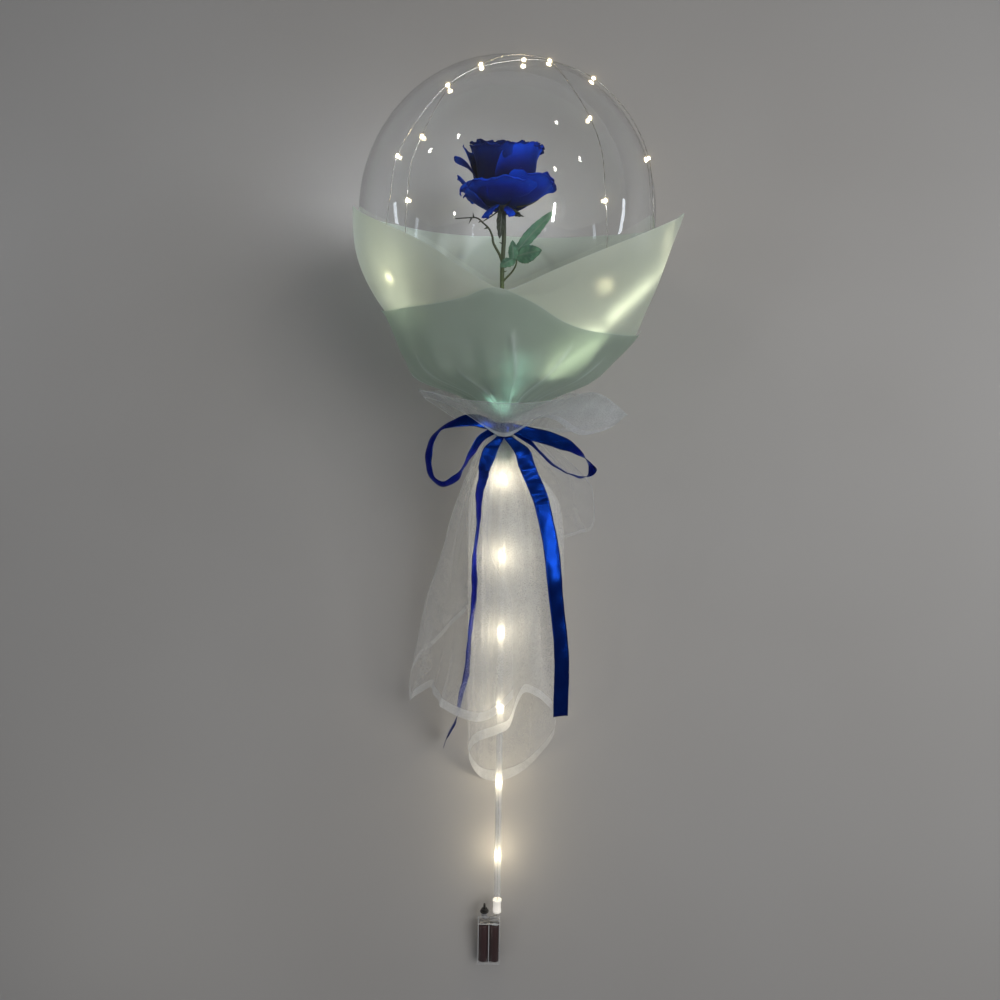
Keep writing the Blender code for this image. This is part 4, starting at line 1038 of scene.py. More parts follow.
# Azimuth, the folded edge (x, y, z) and the hem (x, y, z)
COLLAR_EDGES = [
    (-180, 0.000, 0.112, 0.058, 0.000, 0.046, -0.004), (-145, -0.064, 0.092, 0.056, -0.026, 0.044, 0.000),
    (-110, -0.098, 0.042, 0.048, -0.058, 0.026, 0.008), (-90, -0.104, -0.010, 0.046, -0.096, -0.010, 0.034),
    (-60, -0.086, -0.060, 0.040, -0.060, -0.037, 0.022), (-30, -0.050, -0.086, 0.030, -0.026, -0.039, 0.001),
    (0, 0.000, -0.091, 0.026, 0.000, -0.039, -0.012), (28, 0.047, -0.086, 0.029, 0.030, -0.037, 0.003),
    (45, 0.076, -0.078, 0.035, 0.046, -0.032, 0.013), (60, 0.104, -0.062, 0.042, 0.064, -0.022, 0.010),
    (75, 0.128, -0.036, 0.036, 0.096, -0.014, -0.008), (90, 0.152, -0.006, 0.017, 0.143, -0.006, 0.006),
    (110, 0.110, 0.044, 0.044, 0.074, 0.030, -0.004), (145, 0.066, 0.092, 0.056, 0.026, 0.044, -0.002),
    (180, 0.000, 0.112, 0.058, 0.000, 0.046, -0.004)]


def make_collar():
    """The collar fans out over the film, folds over and falls back to a hem."""
    turn_at = 0.56
    rows = 80

    def point(u, v):
        azimuth = -180.0 + 360.0 * u
        edges = read_table(COLLAR_EDGES, azimuth)
        fold, hem = Vector(edges[:3]), Vector(edges[3:])
        pleat = sin(radians(19 * azimuth)) + 0.5 * sin(radians(31 * azimuth + 40))
        v = 1 - hem_first(1 - v, rows, 0.045)
        if v < turn_at:
            share = v / turn_at
            z = 0.006 + (fold.z - 0.006) * share
            radius = film_radius(azimuth, z) + 0.0043 + 0.0024 * ease(0.1, 0.35, share)
            radius += max(0.0, hypot(fold.x, fold.y) - radius) * share ** 3
            radius += 0.0010 * pleat * ease(0.05, 0.3, share)
            return around(azimuth, radius, z)
        share = (v - turn_at) / (1 - turn_at)
        outward = Vector((fold.x, fold.y, 0.0)).normalized()
        near = fold + outward * 0.0025 * sin(pi * min(1.0, share * 5))
        swept = near.lerp(hem, share) + outward * (0.006 * sin(pi * share) ** 0.7)
        swept.z += 0.004 * sin(pi * share)
        return swept * (1 + 0.022 * sin(radians(azimuth * 11)) * share + 0.008 * pleat * share)

    def cover(u, v):
        azimuth = -180.0 + 360.0 * u
        v = 1 - hem_first(1 - v, rows, 0.045)
        gathered = 0.7 * (1 - ease(0.0, 0.30, v))
        pleat = 0.5 + 0.5 * sin(radians(19 * azimuth + 90)) * sin(radians(31 * azimuth))
        hem = 0.65 * ease(0.955, 0.962, v)
        edge = 0.30 * bump_at(turn_at, 0.012, v)
        wing = 0.36 * bump_at(85.0, 34.0, azimuth)
        return net_cover(0.06 + 0.10 * pleat + wing + max(gathered, hem, edge))

    piece = grid_piece("tulle_collar_net", 228, rows, point, TULLE, "white_tulle", (0.7, 0.19), True,
                       {"cover": cover})
    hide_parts("tulle_collar")
    return piece


TAIL_WIDTHS = [(-0.490, 0.046, 0.032, 0.016, 0.046), (-0.455, 0.060, 0.037, 0.018, 0.044),
               (-0.400, 0.072, 0.041, 0.021, 0.040), (-0.300, 0.074, 0.041, 0.022, 0.036),
               (-0.210, 0.075, 0.041, 0.023, 0.032), (-0.100, 0.070, 0.040, 0.024, 0.028),
               (-0.055, 0.042, 0.030, 0.020, 0.022), (-TIE_RUN, *[INNER_TULLE] * 4)]
TAIL_HEM = [(-180, -0.482), (-150, -0.478), (-120, -0.460), (-90, -0.430), (-45, -0.404), (0, -0.389),
            (10, -0.380), (17, -0.352), (25, -0.337), (40, -0.343), (60, -0.360), (90, -0.387),
            (110, -0.414), (135, -0.452), (160, -0.475), (180, -0.482)]


# Sharp folds down the tail: azimuth at the tie and at the hem, half width in degrees, and strength
TAIL_FOLDS = [(-160, -140, 3.0, 0.5), (-118, -132, 4.0, 0.6), (-82, -66, 2.5, 0.7), (-58, -70, 3.5, 0.4),
              (-40, -22, 2.0, 0.8), (-16, -34, 3.0, 0.5), (-4, 12, 2.5, 0.7), (14, 3, 4.0, 0.4),
              (27, 44, 2.0, 0.8), (50, 38, 3.0, 0.5), (66, 78, 2.5, 0.7), (96, 84, 3.5, 0.5),
              (126, 140, 3.0, 0.6), (164, 150, 4.0, 0.5)]


def fold_at(folds, place, fall, widen=1.0):
    """The strength of the nearest sharp fold at a place across a hanging net and a share of its fall."""
    most = 0.0
    for high, low, half, strength in folds:
        wander = 2.0 * half * sin(9.0 * fall + high)
        off = (place - (high + (low - high) * fall + wander)) / (half * widen)
        if abs(off) < 3.0:
            most = max(most, strength * exp(-off * off) * (0.55 + 0.45 * sin(7.0 * fall + 0.3 * high)))
    return most


def tail_sheet(name, size, hem_lift, phase):
    """A length of tulle rolled loosely round the tube. size is its share of the CAD tail's width."""
    rows = 110

    def section(azimuth, z, calm):
        right, left, front, back = read_table(TAIL_WIDTHS, z)
        angle = radians(azimuth)
        wide = right if 0 < azimuth < 180 else left
        deep = front if abs(azimuth) < 90 else back
        open_out = ease(TIE_RUN, 0.08, -z) * calm
        bent = angle + 0.25 * sin(3 * angle + 9 * z + phase)
        swell = 1 + 0.08 * open_out * sin(7 * angle + 1.0 + phase)
        swell += 0.030 * open_out * sin(12 * bent + phase - 5 * z)
        swell += 0.07 * open_out * fold_at(TAIL_FOLDS, azimuth + 8.0 * phase, min(1.0, -z / 0.45), 1.8)
        share = size + (1 - size) * (1 - ease(TIE_RUN, 0.08, -z))
        return Vector((wide * sin(angle), -deep * cos(angle), 0.0)) * (swell * share)

    def spot_at(u, v):
        azimuth = -180.0 + 360.0 * u
        hem = read_table(TAIL_HEM, azimuth)[0] + hem_lift
        fall = 1 - hem_first(v, rows, 0.034)
        return azimuth, -0.004 + (hem + 0.004) * fall, 1 - 0.8 * ease(0.80, 1.0, fall), fall

    def point(u, v):
        azimuth, z, calm, fall = spot_at(u, v)
        spot = section(azimuth, z, calm)
        spot.z = z
        return above_floor(spot, 0.002)

    def cover(u, v):
        azimuth, z, calm, fall = spot_at(u, v)
        step = section(azimuth + 0.8, z, calm).length - section(azimuth - 0.8, z, calm).length
        steep = min(1.0, abs(step) / (2 * radians(0.8) * max(0.01, section(azimuth, z, calm).length)) * 0.5)
        gathered = 0.75 * exp(z / 0.030) + 0.25 * exp(z / 0.20)
        fold = 0.38 * calm * fold_at(TAIL_FOLDS, azimuth + 8.0 * phase, min(1.0, -z / 0.45))
        if size < 1.0:
            return net_cover(0.12 * steep + fold + gathered) * (1 - ease(0.55, 0.95, fall))
        hem = 0.68 if fall > 0.9665 else 0.0
        return net_cover(0.15 * steep + fold + max(gathered, hem))

    return grid_piece(name, 220, rows, point, TULLE, "white_tulle", (0.34, 0.42), True, {"cover": cover})


def make_tail():
    outer = tail_sheet("tulle_tail_net", 1.0, 0.0, 0.0)
    inner = tail_sheet("tulle_tail_inner", 0.62, 0.030, 2.1)
    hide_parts("tulle_tail")
    return outer, inner


# Place along the hem, azimuth, reach and height
VEIL_HEM = [(0.00, 24, 0.042, -0.338), (0.07, -18, 0.039, -0.364), (0.13, -47, 0.050, -0.370),
            (0.19, -62, 0.070, -0.358), (0.25, -73, 0.084, -0.342), (0.30, -86, 0.096, -0.336),
            (0.36, -113, 0.136, -0.372), (0.44, -123, 0.126, -0.310), (0.60, -180, 0.086, -0.215),
            (0.77, -222, 0.088, -0.160), (0.88, -256, 0.100, -0.136), (0.95, -268, 0.124, -0.122),
            (1.00, -276, 0.108, -0.072)]
VEIL_TURN = 60.0
VEIL_FOLDS = [(0.04, 0.10, 0.008, 0.7), (0.13, 0.17, 0.012, 0.5), (0.24, 0.20, 0.008, 0.8),
              (0.33, 0.36, 0.010, 0.5), (0.42, 0.47, 0.008, 0.7), (0.55, 0.51, 0.012, 0.5),
              (0.63, 0.67, 0.008, 0.8), (0.71, 0.74, 0.010, 0.6), (0.80, 0.79, 0.006, 0.8),
              (0.87, 0.90, 0.009, 0.6), (0.95, 0.94, 0.006, 0.7)]


def tail_reach(azimuth, z):
    """Distance from the tube's axis to the tail's outer side in the CAD."""
    right, left, front, back = read_table(TAIL_WIDTHS, z)
    across, ahead = sin(radians(azimuth)), cos(radians(azimuth))
    wide = right if across > 0 else left
    deep = front if ahead > 0 else back
    angle = atan2(across / wide, ahead / deep)
    swell = 1 + 0.10 * ease(TIE_RUN, 0.08, -z) * sin(7 * angle + 1.0)
    return swell / hypot(across / wide, ahead / deep)


def make_veil():
    """The outer tulle: long at the left, low behind the tube, and a short flap at the right."""
    rows = 100

    def spot_at(u, fall):
        azimuth, reach, hem = read_table(VEIL_HEM, 1 - u)
        azimuth -= VEIL_TURN * u ** 4 * (1 - ease(0.40, 0.66, fall))
        z = -0.004 + (hem + 0.004) * fall
        radius = OUTER_TULLE + (reach - OUTER_TULLE) * fall ** 0.55
        radius *= 1 + 0.05 * ease(0.1, 0.4, fall) * sin(40.0 * u + 2.0 * fall + sin(13.0 * u))
        radius *= 1 + 0.05 * ease(0.08, 0.35, fall) * fold_at(VEIL_FOLDS, u, fall, 1.8)
        return azimuth, max(radius, tail_reach(azimuth, z) + 0.004 * ease(0.0, 0.15, fall) + 0.0015), z

    def point(u, v):
        return above_floor(around(*spot_at(u, 1 - hem_first(v, rows, 0.034))), 0.002)

    def cover(u, v):
        fall = 1 - hem_first(v, rows, 0.034)
        step = spot_at(min(1, u + 0.004), fall)[1] - spot_at(max(0, u - 0.004), fall)[1]
        steep = min(1.0, abs(step) / 0.004 * 0.5)
        gathered = 0.7 * exp(-fall / 0.08)
        fold = 0.40 * fold_at(VEIL_FOLDS, u, fall)
        hem = 0.60 if fall > 0.9665 else 0.0
        side = 0.30 if u < 0.004 or u > 0.996 else 0.0
        return net_cover(0.10 * steep + fold + max(gathered, hem, side))

    piece = grid_piece("tulle_veil_net", 230, rows, point, TULLE, "white_tulle", (0.5, 0.30),
                       values={"cover": cover})
    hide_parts("tulle_veil")
    return piece


# Ribbon bow

LEFT_LOOP = [
    (-0.0100, -0.0235, 0.000, 0.0, 0.1, 1.0, 0.50), (-0.0212, -0.0245, 0.004, 0.1, 0.2, 1.0, 0.70),
    (-0.0399, -0.0250, 0.0085, 0.1, 0.4, 0.9, 0.85), (-0.0596, -0.0265, 0.006, 0.1, 0.7, 0.7, 0.95),
    (-0.0750, -0.0280, -0.001, -0.1, 0.95, 0.3, 1.0), (-0.0860, -0.0290, -0.014, -0.3, 0.95, 0.15, 1.0),
    (-0.0924, -0.0290, -0.031, -0.4, 0.9, 0.1, 1.0), (-0.0940, -0.0285, -0.048, -0.4, 0.9, 0.0, 1.0),
    (-0.0886, -0.0280, -0.063, -0.35, 0.9, -0.2, 1.0), (-0.0756, -0.0270, -0.0705, 0.0, 0.9, -0.45, 1.0),
    (-0.0602, -0.0265, -0.064, 0.3, 0.9, -0.3, 1.0), (-0.0498, -0.0265, -0.0525, 0.05, 1.0, 0.0, 1.0),
    (-0.0440, -0.0260, -0.040, 0.2, 1.0, 0.05, 0.95), (-0.0375, -0.0250, -0.026, 0.45, 0.9, -0.1, 0.85),
    (-0.0280, -0.0210, -0.013, 0.3, 0.6, -0.6, 0.65), (-0.0100, -0.0180, -0.003, 0.0, 0.1, -1.0, 0.45)]
RIGHT_LOOP = [
    (0.0100, -0.0235, 0.000, 0.0, 0.1, 1.0, 0.50), (0.0290, -0.0250, -0.006, 0.2, 0.2, 1.0, 0.80),
    (0.0510, -0.0260, -0.0115, 0.3, 0.3, 0.9, 0.90), (0.0700, -0.0280, -0.0185, 0.3, 0.55, 0.75, 0.95),
    (0.0870, -0.0290, -0.0260, 0.3, 0.85, 0.4, 1.0), (0.1015, -0.0295, -0.0355, 0.1, 1.0, 0.1, 1.0),
    (0.1095, -0.0290, -0.0460, -0.25, 1.0, 0.1, 1.0), (0.1090, -0.0280, -0.0550, -0.3, 1.0, -0.1, 1.0),
    (0.1010, -0.0270, -0.0600, -0.1, 1.0, -0.1, 1.0), (0.0915, -0.0265, -0.0605, 0.0, 1.0, -0.05, 1.0),
    (0.0795, -0.0260, -0.0565, 0.0, 1.0, 0.1, 1.0), (0.0670, -0.0255, -0.0480, -0.1, 1.0, 0.2, 1.0),
    (0.0520, -0.0245, -0.0360, -0.2, 0.9, 0.35, 0.95), (0.0370, -0.0225, -0.0220, -0.35, 0.6, 0.6, 0.80),
    (0.0220, -0.0195, -0.0105, -0.2, 0.3, 0.9, 0.60), (0.0100, -0.0180, -0.0030, 0.0, 0.1, 1.0, 0.45)]
LEFT_TAIL = [
    (-0.0040, -0.0180, -0.0108, 1.0, 0.0, 0.1, 0.50), (-0.0165, -0.0250, -0.028, 1.0, 0.1, -0.3, 0.85),
    (-0.0220, -0.0310, -0.046, 0.9, 0.5, -0.2, 0.90), (-0.0257, -0.0350, -0.063, 0.65, 0.8, 0.0, 0.95),
    (-0.0290, -0.0360, -0.089, 0.32, 0.95, 0.0, 1.0), (-0.0327, -0.0320, -0.140, 0.24, 0.97, 0.0, 1.0),
    (-0.0347, -0.0300, -0.190, 0.24, 0.97, 0.0, 1.0), (-0.0373, -0.0290, -0.249, 0.28, 0.96, 0.0, 1.0),
    (-0.0440, -0.0270, -0.310, 0.30, 0.95, 0.0, 1.0), (-0.0500, -0.0160, -0.347, 0.3, 0.95, 0.2, 1.0),
    (-0.0590, 0.0080, -0.387, 0.2, 0.9, 0.4, 1.0), (-0.0730, 0.0360, -0.425, 0.2, 0.8, 0.5, 1.0)]
RIGHT_TAIL = [
    (0.0040, -0.0235, -0.0108, 1.0, 0.0, 0.1, 0.55), (0.0215, -0.0310, -0.028, 1.0, 0.1, 0.3, 0.90),
    (0.0280, -0.0345, -0.045, 1.0, 0.1, 0.2, 1.0), (0.0350, -0.0365, -0.062, 1.0, 0.15, 0.2, 1.0),
    (0.0430, -0.0375, -0.079, 1.0, 0.2, 0.2, 1.0), (0.0480, -0.0375, -0.095, 1.0, 0.25, 0.2, 1.0),
    (0.0591, -0.0360, -0.139, 1.0, 0.3, 0.1, 1.0), (0.0654, -0.0330, -0.190, 1.0, 0.35, 0.1, 1.0),
    (0.0732, -0.0280, -0.249, 1.0, 0.4, 0.1, 1.0), (0.0780, -0.0210, -0.311, 1.0, 0.35, 0.0, 1.0),
    (0.0785, -0.0080, -0.371, 1.0, 0.2, 0.0, 1.0)]


def make_ribbon(name, rows, node):
    """A satin ribbon with a slight crown across its width and a small thickness."""
    path = smooth_path([Vector(row) for row in rows], 8)
    length = sum((Vector(b[:3]) - Vector(a[:3])).length for a, b in zip(path, path[1:]))
    count = len(path) - 1

    def point(u, v):
        row = path[round(v * count)]
        middle, across = Vector(row[:3]), Vector(row[3:6]).normalized()
        before, after = path[max(0, round(v * count) - 1)], path[min(count, round(v * count) + 1)]
        along = (Vector(after[:3]) - Vector(before[:3])).normalized()
        face = across.cross(along).normalized()
        side = 2 * u - 1
        run = v * length
        crown = 0.0008 * (1 - side * side) + 0.0011 * sin(tau * run / 0.068)
        crown += 0.0003 * sin(tau * run / 0.021 + side) + 0.0008 * side * sin(tau * run / 0.095 + 1.0)
        return middle + across * (side / 2 * RIBBON_WIDTH * row[6]) + face * crown

    piece = grid_piece(name, 10, count, point, SATIN, "blue_satin", (RIBBON_WIDTH, length), thickness=0.0004)
    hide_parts(node)
    return piece, length


def make_bow():
    ribbons = [
        make_ribbon("ribbon_loop_left", LEFT_LOOP, "bow_loop_left"),
        make_ribbon("ribbon_loop_right", RIGHT_LOOP, "bow_loop_right"),
        make_ribbon("ribbon_tail_left", LEFT_TAIL, "bow_tail_left"),
        make_ribbon("ribbon_tail_right", RIGHT_TAIL, "bow_tail_right")]

    band_radius, half, wraps = 0.0133, 0.006, 3
    path_steps = 64

    def band(u, v):
        angle = tau * u
        height = -half + 2 * half * v
        ridge = 0.0005 * cos(2 * pi * wraps * v + 1.5 * sin(angle))
        return Vector(((band_radius + ridge) * sin(angle), -(band_radius + ridge) * cos(angle), height))

    points, faces, pairs = grid(path_steps, 12, band, True)
    uv = [(u * 0.084, v * 2 * half) for u, v in pairs]
    ring = thicken(add_mesh("ribbon_band", points, faces, SATIN, "blue_satin", uv), 0.0008)
    power = 0.72              # below 1 the knot is squarer than a ball

    def soft(value):
        return abs(value) ** power * (1 if value > 0 else -1)

    def knot(u, v):
        angle, tilt = tau * u, pi * (v - 0.5)
        crease = 1 - 0.09 * max(0.0, cos(6.0 * tilt + 1.2 * sin(angle))) ** 3
        x = 0.0085 * soft(cos(tilt)) * soft(sin(angle)) * (1 + 0.12 * sin(tilt))
        y = 0.0058 * soft(cos(tilt)) * soft(cos(angle)) * crease
        z = 0.0082 * soft(sin(tilt))
        return Vector((x, -0.0185 - y, -0.0028 + z))

    points, faces, pairs = grid(48, 28, knot, True)
    uv = [(u * 0.05, v * 0.02) for u, v in pairs]
    fix_normals(add_mesh("ribbon_knot_front", points, faces, SATIN, "blue_satin", uv))
    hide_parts("ribbon_knot")


# Battery box

BOX_HALF = BOX_THICKNESS / 2
BOX_LEFT = BOX_X - BOX_WIDTH / 2
BOX_RIGHT = BOX_X + BOX_WIDTH / 2
BAY_BOTTOM = BOX_BOTTOM + BOX_WALL
BAY_TOP = BAY_BOTTOM + 0.0535   # the top of the cells' bay
CELL_RADIUS = 0.00725
CELL_APART = 0.0073             # from the box's middle to the axis of a cell
CELL_JACKET = 0.0492            # length of a cell's wrapper


def from_top(profile):
    """A (radius, height) profile whose heights count from the top of the box."""
    return [(radius, BOX_TOP + height) for radius, height in profile]


def make_case():
    """The clear case, hollow, with the lid's grip and seam at the back."""
    outer = rounded_block((BOX_LEFT, -BOX_HALF, BOX_BOTTOM), (BOX_RIGHT, BOX_HALF, BOX_TOP), 0.0010)
    bays = [rounded_block((BOX_LEFT + BOX_WALL, BOX_WALL - BOX_HALF, low),
                          (BOX_RIGHT - BOX_WALL, BOX_HALF - BOX_WALL, high), 0.0006, 2)
            for low, high in ((BAY_BOTTOM, BAY_TOP), (BAY_TOP + 0.0012, BOX_TOP - BOX_WALL))]
    inside_out = [(points, [face[::-1] for face in faces]) for points, faces in bays]
    sleeve = lathe([(0.0, TUBE_BOTTOM + 0.010), (0.0031, TUBE_BOTTOM + 0.0095), (0.0032, TUBE_BOTTOM),
                    (0.0046, TUBE_BOTTOM - 0.0003), (0.0047, BOX_TOP + 0.0035), (0.0052, BOX_TOP + 0.0030),
                    (0.0052, BOX_TOP + 0.0004), (0.0, BOX_TOP + 0.0004)][::-1], 32)
    case = add_joined("clear_case", [outer] + inside_out + [sleeve], CLEAR_BOX, "clear_hard_plastic")
    case.data.set_sharp_from_angle(angle=radians(35))
    case.visible_shadow = False
    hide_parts("battery_case", "battery_lid")

    ribs = [rounded_block((BOX_LEFT + 0.004, BOX_HALF - 0.0004, BOX_BOTTOM + 0.006 + 0.0035 * index),
                          (BOX_LEFT + 0.012, BOX_HALF + 0.0001, BOX_BOTTOM + 0.0072 + 0.0035 * index),
                          0.0003, 1) for index in range(5)]
    seam = rounded_block((BOX_LEFT + 0.0008, BOX_HALF - 0.0005, BOX_TOP - 0.0016),
                         (BOX_RIGHT - 0.0008, BOX_HALF + 0.00005, BOX_TOP - 0.0010), 0.0002, 1)
    grip = add_joined("lid_grip", ribs + [seam], CLEAR_BOX, "clear_hard_plastic")
    grip.visible_shadow = False


def make_cells():
    """The two cells, the left one upside down, with their caps, springs and contact plates."""
    for side, name in ((-1, "cell_left"), (1, "cell_right")):
        x = BOX_X + side * CELL_APART
        bottom = BAY_BOTTOM + 0.0015
        low, high = (bottom, bottom + CELL_JACKET)[::side]
        jacket = [(0.0, low), (0.0060, low), (0.0068, low + side * 0.0002),
                  (CELL_RADIUS, low + side * 0.0008), (CELL_RADIUS, low + side * 0.0484),
                  (0.0068, high - side * 0.0002), (0.0052, high), (0.0, high)]
        cell = fix_normals(add_turned(name + "_jacket", jacket, 48, CELL, "dark_red_cell", x))
        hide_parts(name)
        cap = [(0.0050, high - side * 0.0001), (0.0050, high + side * 0.0002),
               (0.0028, high + side * 0.0003), (0.0027, high + side * 0.0012), (0.0, high + side * 0.0013)]
        add_turned(name + "_cap", cap, 32, METAL, "light_string", x)
        coil = []
        for step in range(41):
            share = step / 40
            radius = 0.0035 - 0.0018 * share
            coil.append(Vector((x + radius * cos(0.9 * step), radius * sin(0.9 * step),
                                low - side * (0.0013 - 0.0012 * share))))
        add_mesh(name + "_spring", *tube_along(coil, 0.00022, 6), METAL, "light_string")

    plates = [rounded_block((BOX_X - 0.0125, -0.0035, z), (BOX_X + 0.0125, 0.0035, z + 0.0003), 0.0001, 1)
              for z in (BAY_BOTTOM + 0.00005, BAY_TOP - 0.0004)]
    add_joined("contact_plates", plates, METAL, "light_string")


def make_wiring():
    """The driver board over the cells, and the two leads between the switch and the light string."""
    board = rounded_block((BOX_X + 0.0015, -0.0052, BOX_TOP - 0.0098),
                          (BOX_RIGHT - 0.0022, 0.0052, BOX_TOP - 0.0086), 0.0002, 1)
    add_mesh("driver_board", *board, GREY, "black_plastic")
    leads = []
    for side, y in ((-1, 0.0), (1, 0.001)):
        lead = [(SWITCH_X + side * 0.001, y, BOX_TOP - 0.0086),
                (SWITCH_X + 0.004, 0.003 + side * 0.002, BOX_TOP - 0.0102),
                (BOX_X + 0.004, 0.002, BOX_TOP - 0.0075), (0.0, 0.0, BOX_TOP - 0.004),
                (0.0, 0.0, BOX_TOP + 0.004)]
        leads.append(tube_along(smooth_path([Vector(point) for point in lead], 8), 0.0005, 8))
    add_joined("switch_leads", leads, WIRE, "light_string")


def make_painted_light_edges():
    """The case's moulded edges and the strip between the cells, painted pale as the reflections the clear
    walls show edge on, and the socket that holds the tube, with a painted glow.
    """
    wall, lip, inset, proud = 0.0004, 0.0005, 0.0018, 0.00002
    low_z, high_z = BOX_BOTTOM + 0.0012, BOX_TOP - 0.0012
    low_x, high_x = BOX_LEFT + 0.0012, BOX_RIGHT - 0.0012
    # Pale strips: partly the case's real moulded edges and walls, partly painted reflection where they catch
    # the light.
    edges = [((BOX_X - 0.0006, -0.0078, BAY_TOP - 0.0520), (BOX_X + 0.0006, -0.0070, BAY_TOP - 0.0005)),
             ((low_x, -0.0078, BAY_TOP + 0.0002), (high_x, -0.0060, BAY_TOP + 0.0010))]
    edges += [((x - lip, -BOX_HALF - proud, low_z), (x + lip, wall - BOX_HALF, high_z))
              for x in (BOX_LEFT + inset, BOX_RIGHT - inset)]
    edges += [((low_x, -BOX_HALF - proud, z - lip), (high_x, wall - BOX_HALF, z + lip))
              for z in (BOX_BOTTOM + inset, BOX_TOP - inset)]
    ribs = [rounded_block(low, high, 0.0002, 1) for low, high in edges]
    add_joined("inner_ribs_painted_reflection", ribs, RIB_PAINTED_REFLECTION, "clear_hard_plastic")
    socket = from_top([(0.0048, 0.0002), (0.0054, 0.0004), (0.0054, 0.0036), (0.0049, 0.0042),
                       (0.0049, 0.0150), (0.0058, 0.0154), (0.0058, 0.0170), (0.0048, 0.0172),
                       (0.0048, 0.0002)])
    # The socket's material gives it a painted glow, standing in for a highlight.
    add_turned("tube_socket", socket, 32, SOCKET_PAINTED_GLOW, "clear_hard_plastic")


def make_switch():
    """The push switch: its body in the box, its threaded collar with the nut, and its plunger."""
    body = from_top([(0.0, -0.0085), (0.0034, -0.0085), (0.0038, -0.0081), (0.0038, 0.0)])
    add_turned("switch_body", body, 32, GREY, "black_plastic", SWITCH_X)
    nut = from_top([(0.0038, 0.0002), (0.0056, 0.0002), (0.0058, 0.0006), (0.0056, 0.0016),
                    (0.0044, 0.0018), (0.0042, 0.0040), (0.0038, 0.0043), (0.0018, 0.0043),
                    (0.0018, -0.0040)])
    collar = add_turned("switch_nut", nut, 48, BLACK, "black_plastic", SWITCH_X)
    collar.data.set_sharp_from_angle(angle=radians(35))
    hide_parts("switch_collar")
    plunger = from_top([(0.0, -0.0033), (0.0014, -0.0033), (0.0015, -0.0030), (0.0015, 0.0106),
                        (0.0013, 0.0110), (0.0008, 0.0112), (0.0, 0.01125)])
    button = fix_normals(add_turned("switch_plunger", plunger, 32, BLACK, "black_plastic", SWITCH_X,
                                    "button"))
    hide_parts("switch_button")


# Floor and lights

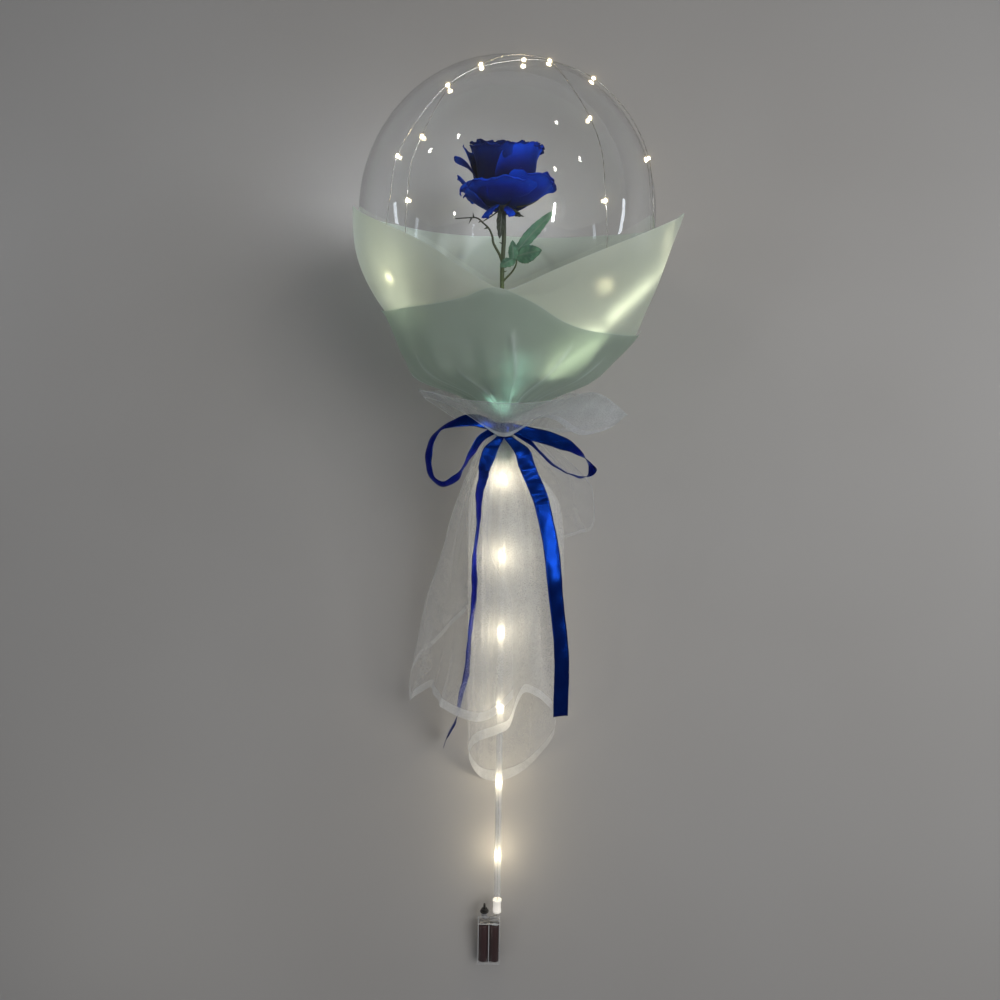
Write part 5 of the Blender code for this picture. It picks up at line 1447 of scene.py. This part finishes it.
def make_stage():
    made = Look("pale_floor").set(Roughness=0.85, Specular_IOR_Level=0.2)
    tone = made.ramp(made.noise(1.6, 2.0), (0.3, rgb(0.50, 0.485, 0.47)), (0.7, rgb(0.54, 0.53, 0.52)))
    made.link(tone, "Base Color")
    mesh = bpy.data.meshes.new("floor")
    reach = 6.0
    corners = [(-reach, -reach, 0), (reach, -reach, 0), (reach, reach, 0), (-reach, reach, 0)]
    mesh.from_pydata(corners, [], [(0, 1, 2, 3)])
    mesh.materials.append(made.material)
    floor = bpy.data.objects.new("floor", mesh)
    bpy.context.scene.collection.objects.link(floor)

    world = bpy.data.worlds.new("studio")
    world.use_nodes = True
    world.node_tree.nodes["Background"].inputs["Color"].default_value = (0.75, 0.78, 0.85, 1.0)
    world.node_tree.nodes["Background"].inputs["Strength"].default_value = 0.16
    bpy.context.scene.world = world

    # Name, place and aim as the pieces are drawn, size across and along the tube, power, colour, whether
    # it shows in reflections, and whether it lights matt surfaces
    balloon, bow = (0.0, 0.0, BALLOON_CENTRE), (0.04, 0.0, -0.10)
    white, warm, cool, window = (1.0, 0.985, 0.96), (1.0, 0.97, 0.90), (0.90, 0.95, 1.0), (0.86, 0.93, 1.0)
    lights = [
        ("overhead", (1.15, -1.55, 0.10), (0.0, 0.0, 0.05), (1.2, 1.2), 12.8, white, False, True),
        ("sheen", (0.68, -1.12, 0.08), bow, (0.035, 0.26), 8.0, cool, True, False),
        ("window_left", (-1.30, -0.14, 0.20), balloon, (0.07, 0.46), 0.7, window, True, True),
        ("window_right", (1.30, -0.06, 0.27), balloon, (0.07, 0.50), 0.9, window, True, True)]
    lights += [("glint", place, balloon, (0.035, 0.055), 0.28, warm, True, True) for place in (
        (0.61, -1.02, 0.65), (-0.60, -0.77, 1.03), (0.54, -0.63, 1.19), (-0.73, -1.00, 0.07),
        (-0.59, -0.41, -0.77), (0.85, -0.70, 0.80), (-0.85, -0.55, 0.85))]
    for name, place, aim, size, power, colour, mirrored, matt in lights:
        back = (Vector(place) - Vector(aim)).normalized()
        length_way = Vector((0.0, 0.0, 1.0))
        length_way = (length_way - back * back.dot(length_way)).normalized()
        turned = Matrix((length_way.cross(back), length_way, back)).transposed().to_4x4()
        light = add_light(name, "AREA", power, colour, LAY @ Matrix.Translation(place) @ turned, size)
        light.visible_glossy = mirrored
        light.visible_transmission = mirrored
        light.visible_diffuse = matt


def set_glare():
    """A small warm halo round the lights, as a camera sees them."""
    scene = bpy.context.scene
    scene.use_nodes = True
    tree = scene.node_tree
    tree.nodes.clear()
    layers = tree.nodes.new("CompositorNodeRLayers")
    glare = tree.nodes.new("CompositorNodeGlare")
    output = tree.nodes.new("CompositorNodeComposite")
    glare.glare_type = "BLOOM"
    for name, value in (("Threshold", 1.6), ("Clamp", True), ("Maximum", 16.0), ("Strength", 0.42),
                        ("Size", 0.28), ("Tint", (1.0, 0.92, 0.66, 1.0))):
        glare.inputs[name].default_value = value
    tree.links.new(layers.outputs["Image"], glare.inputs["Image"])
    tree.links.new(glare.outputs["Image"], output.inputs["Image"])


def set_view():
    scene = bpy.context.scene
    scene.view_settings.view_transform = "Standard"
    scene.view_settings.look = "None"
    scene.view_settings.exposure = 0.0
    scene.cycles.max_bounces = 10
    scene.cycles.transmission_bounces = 9
    scene.cycles.transparent_max_bounces = 40
    scene.cycles.diffuse_bounces = 2
    scene.cycles.glossy_bounces = 3
    scene.cycles.sample_clamp_indirect = 3.0


make_stage()
set_view()
set_glare()
make_balloon()
make_film()
make_film_glows()
make_tube()
make_light_string()
make_rose()
collar_net = make_collar()
tail_nets = make_tail()
veil_net = make_veil()
make_bow()
make_case()
make_cells()
make_wiring()
make_painted_light_edges()
make_switch()
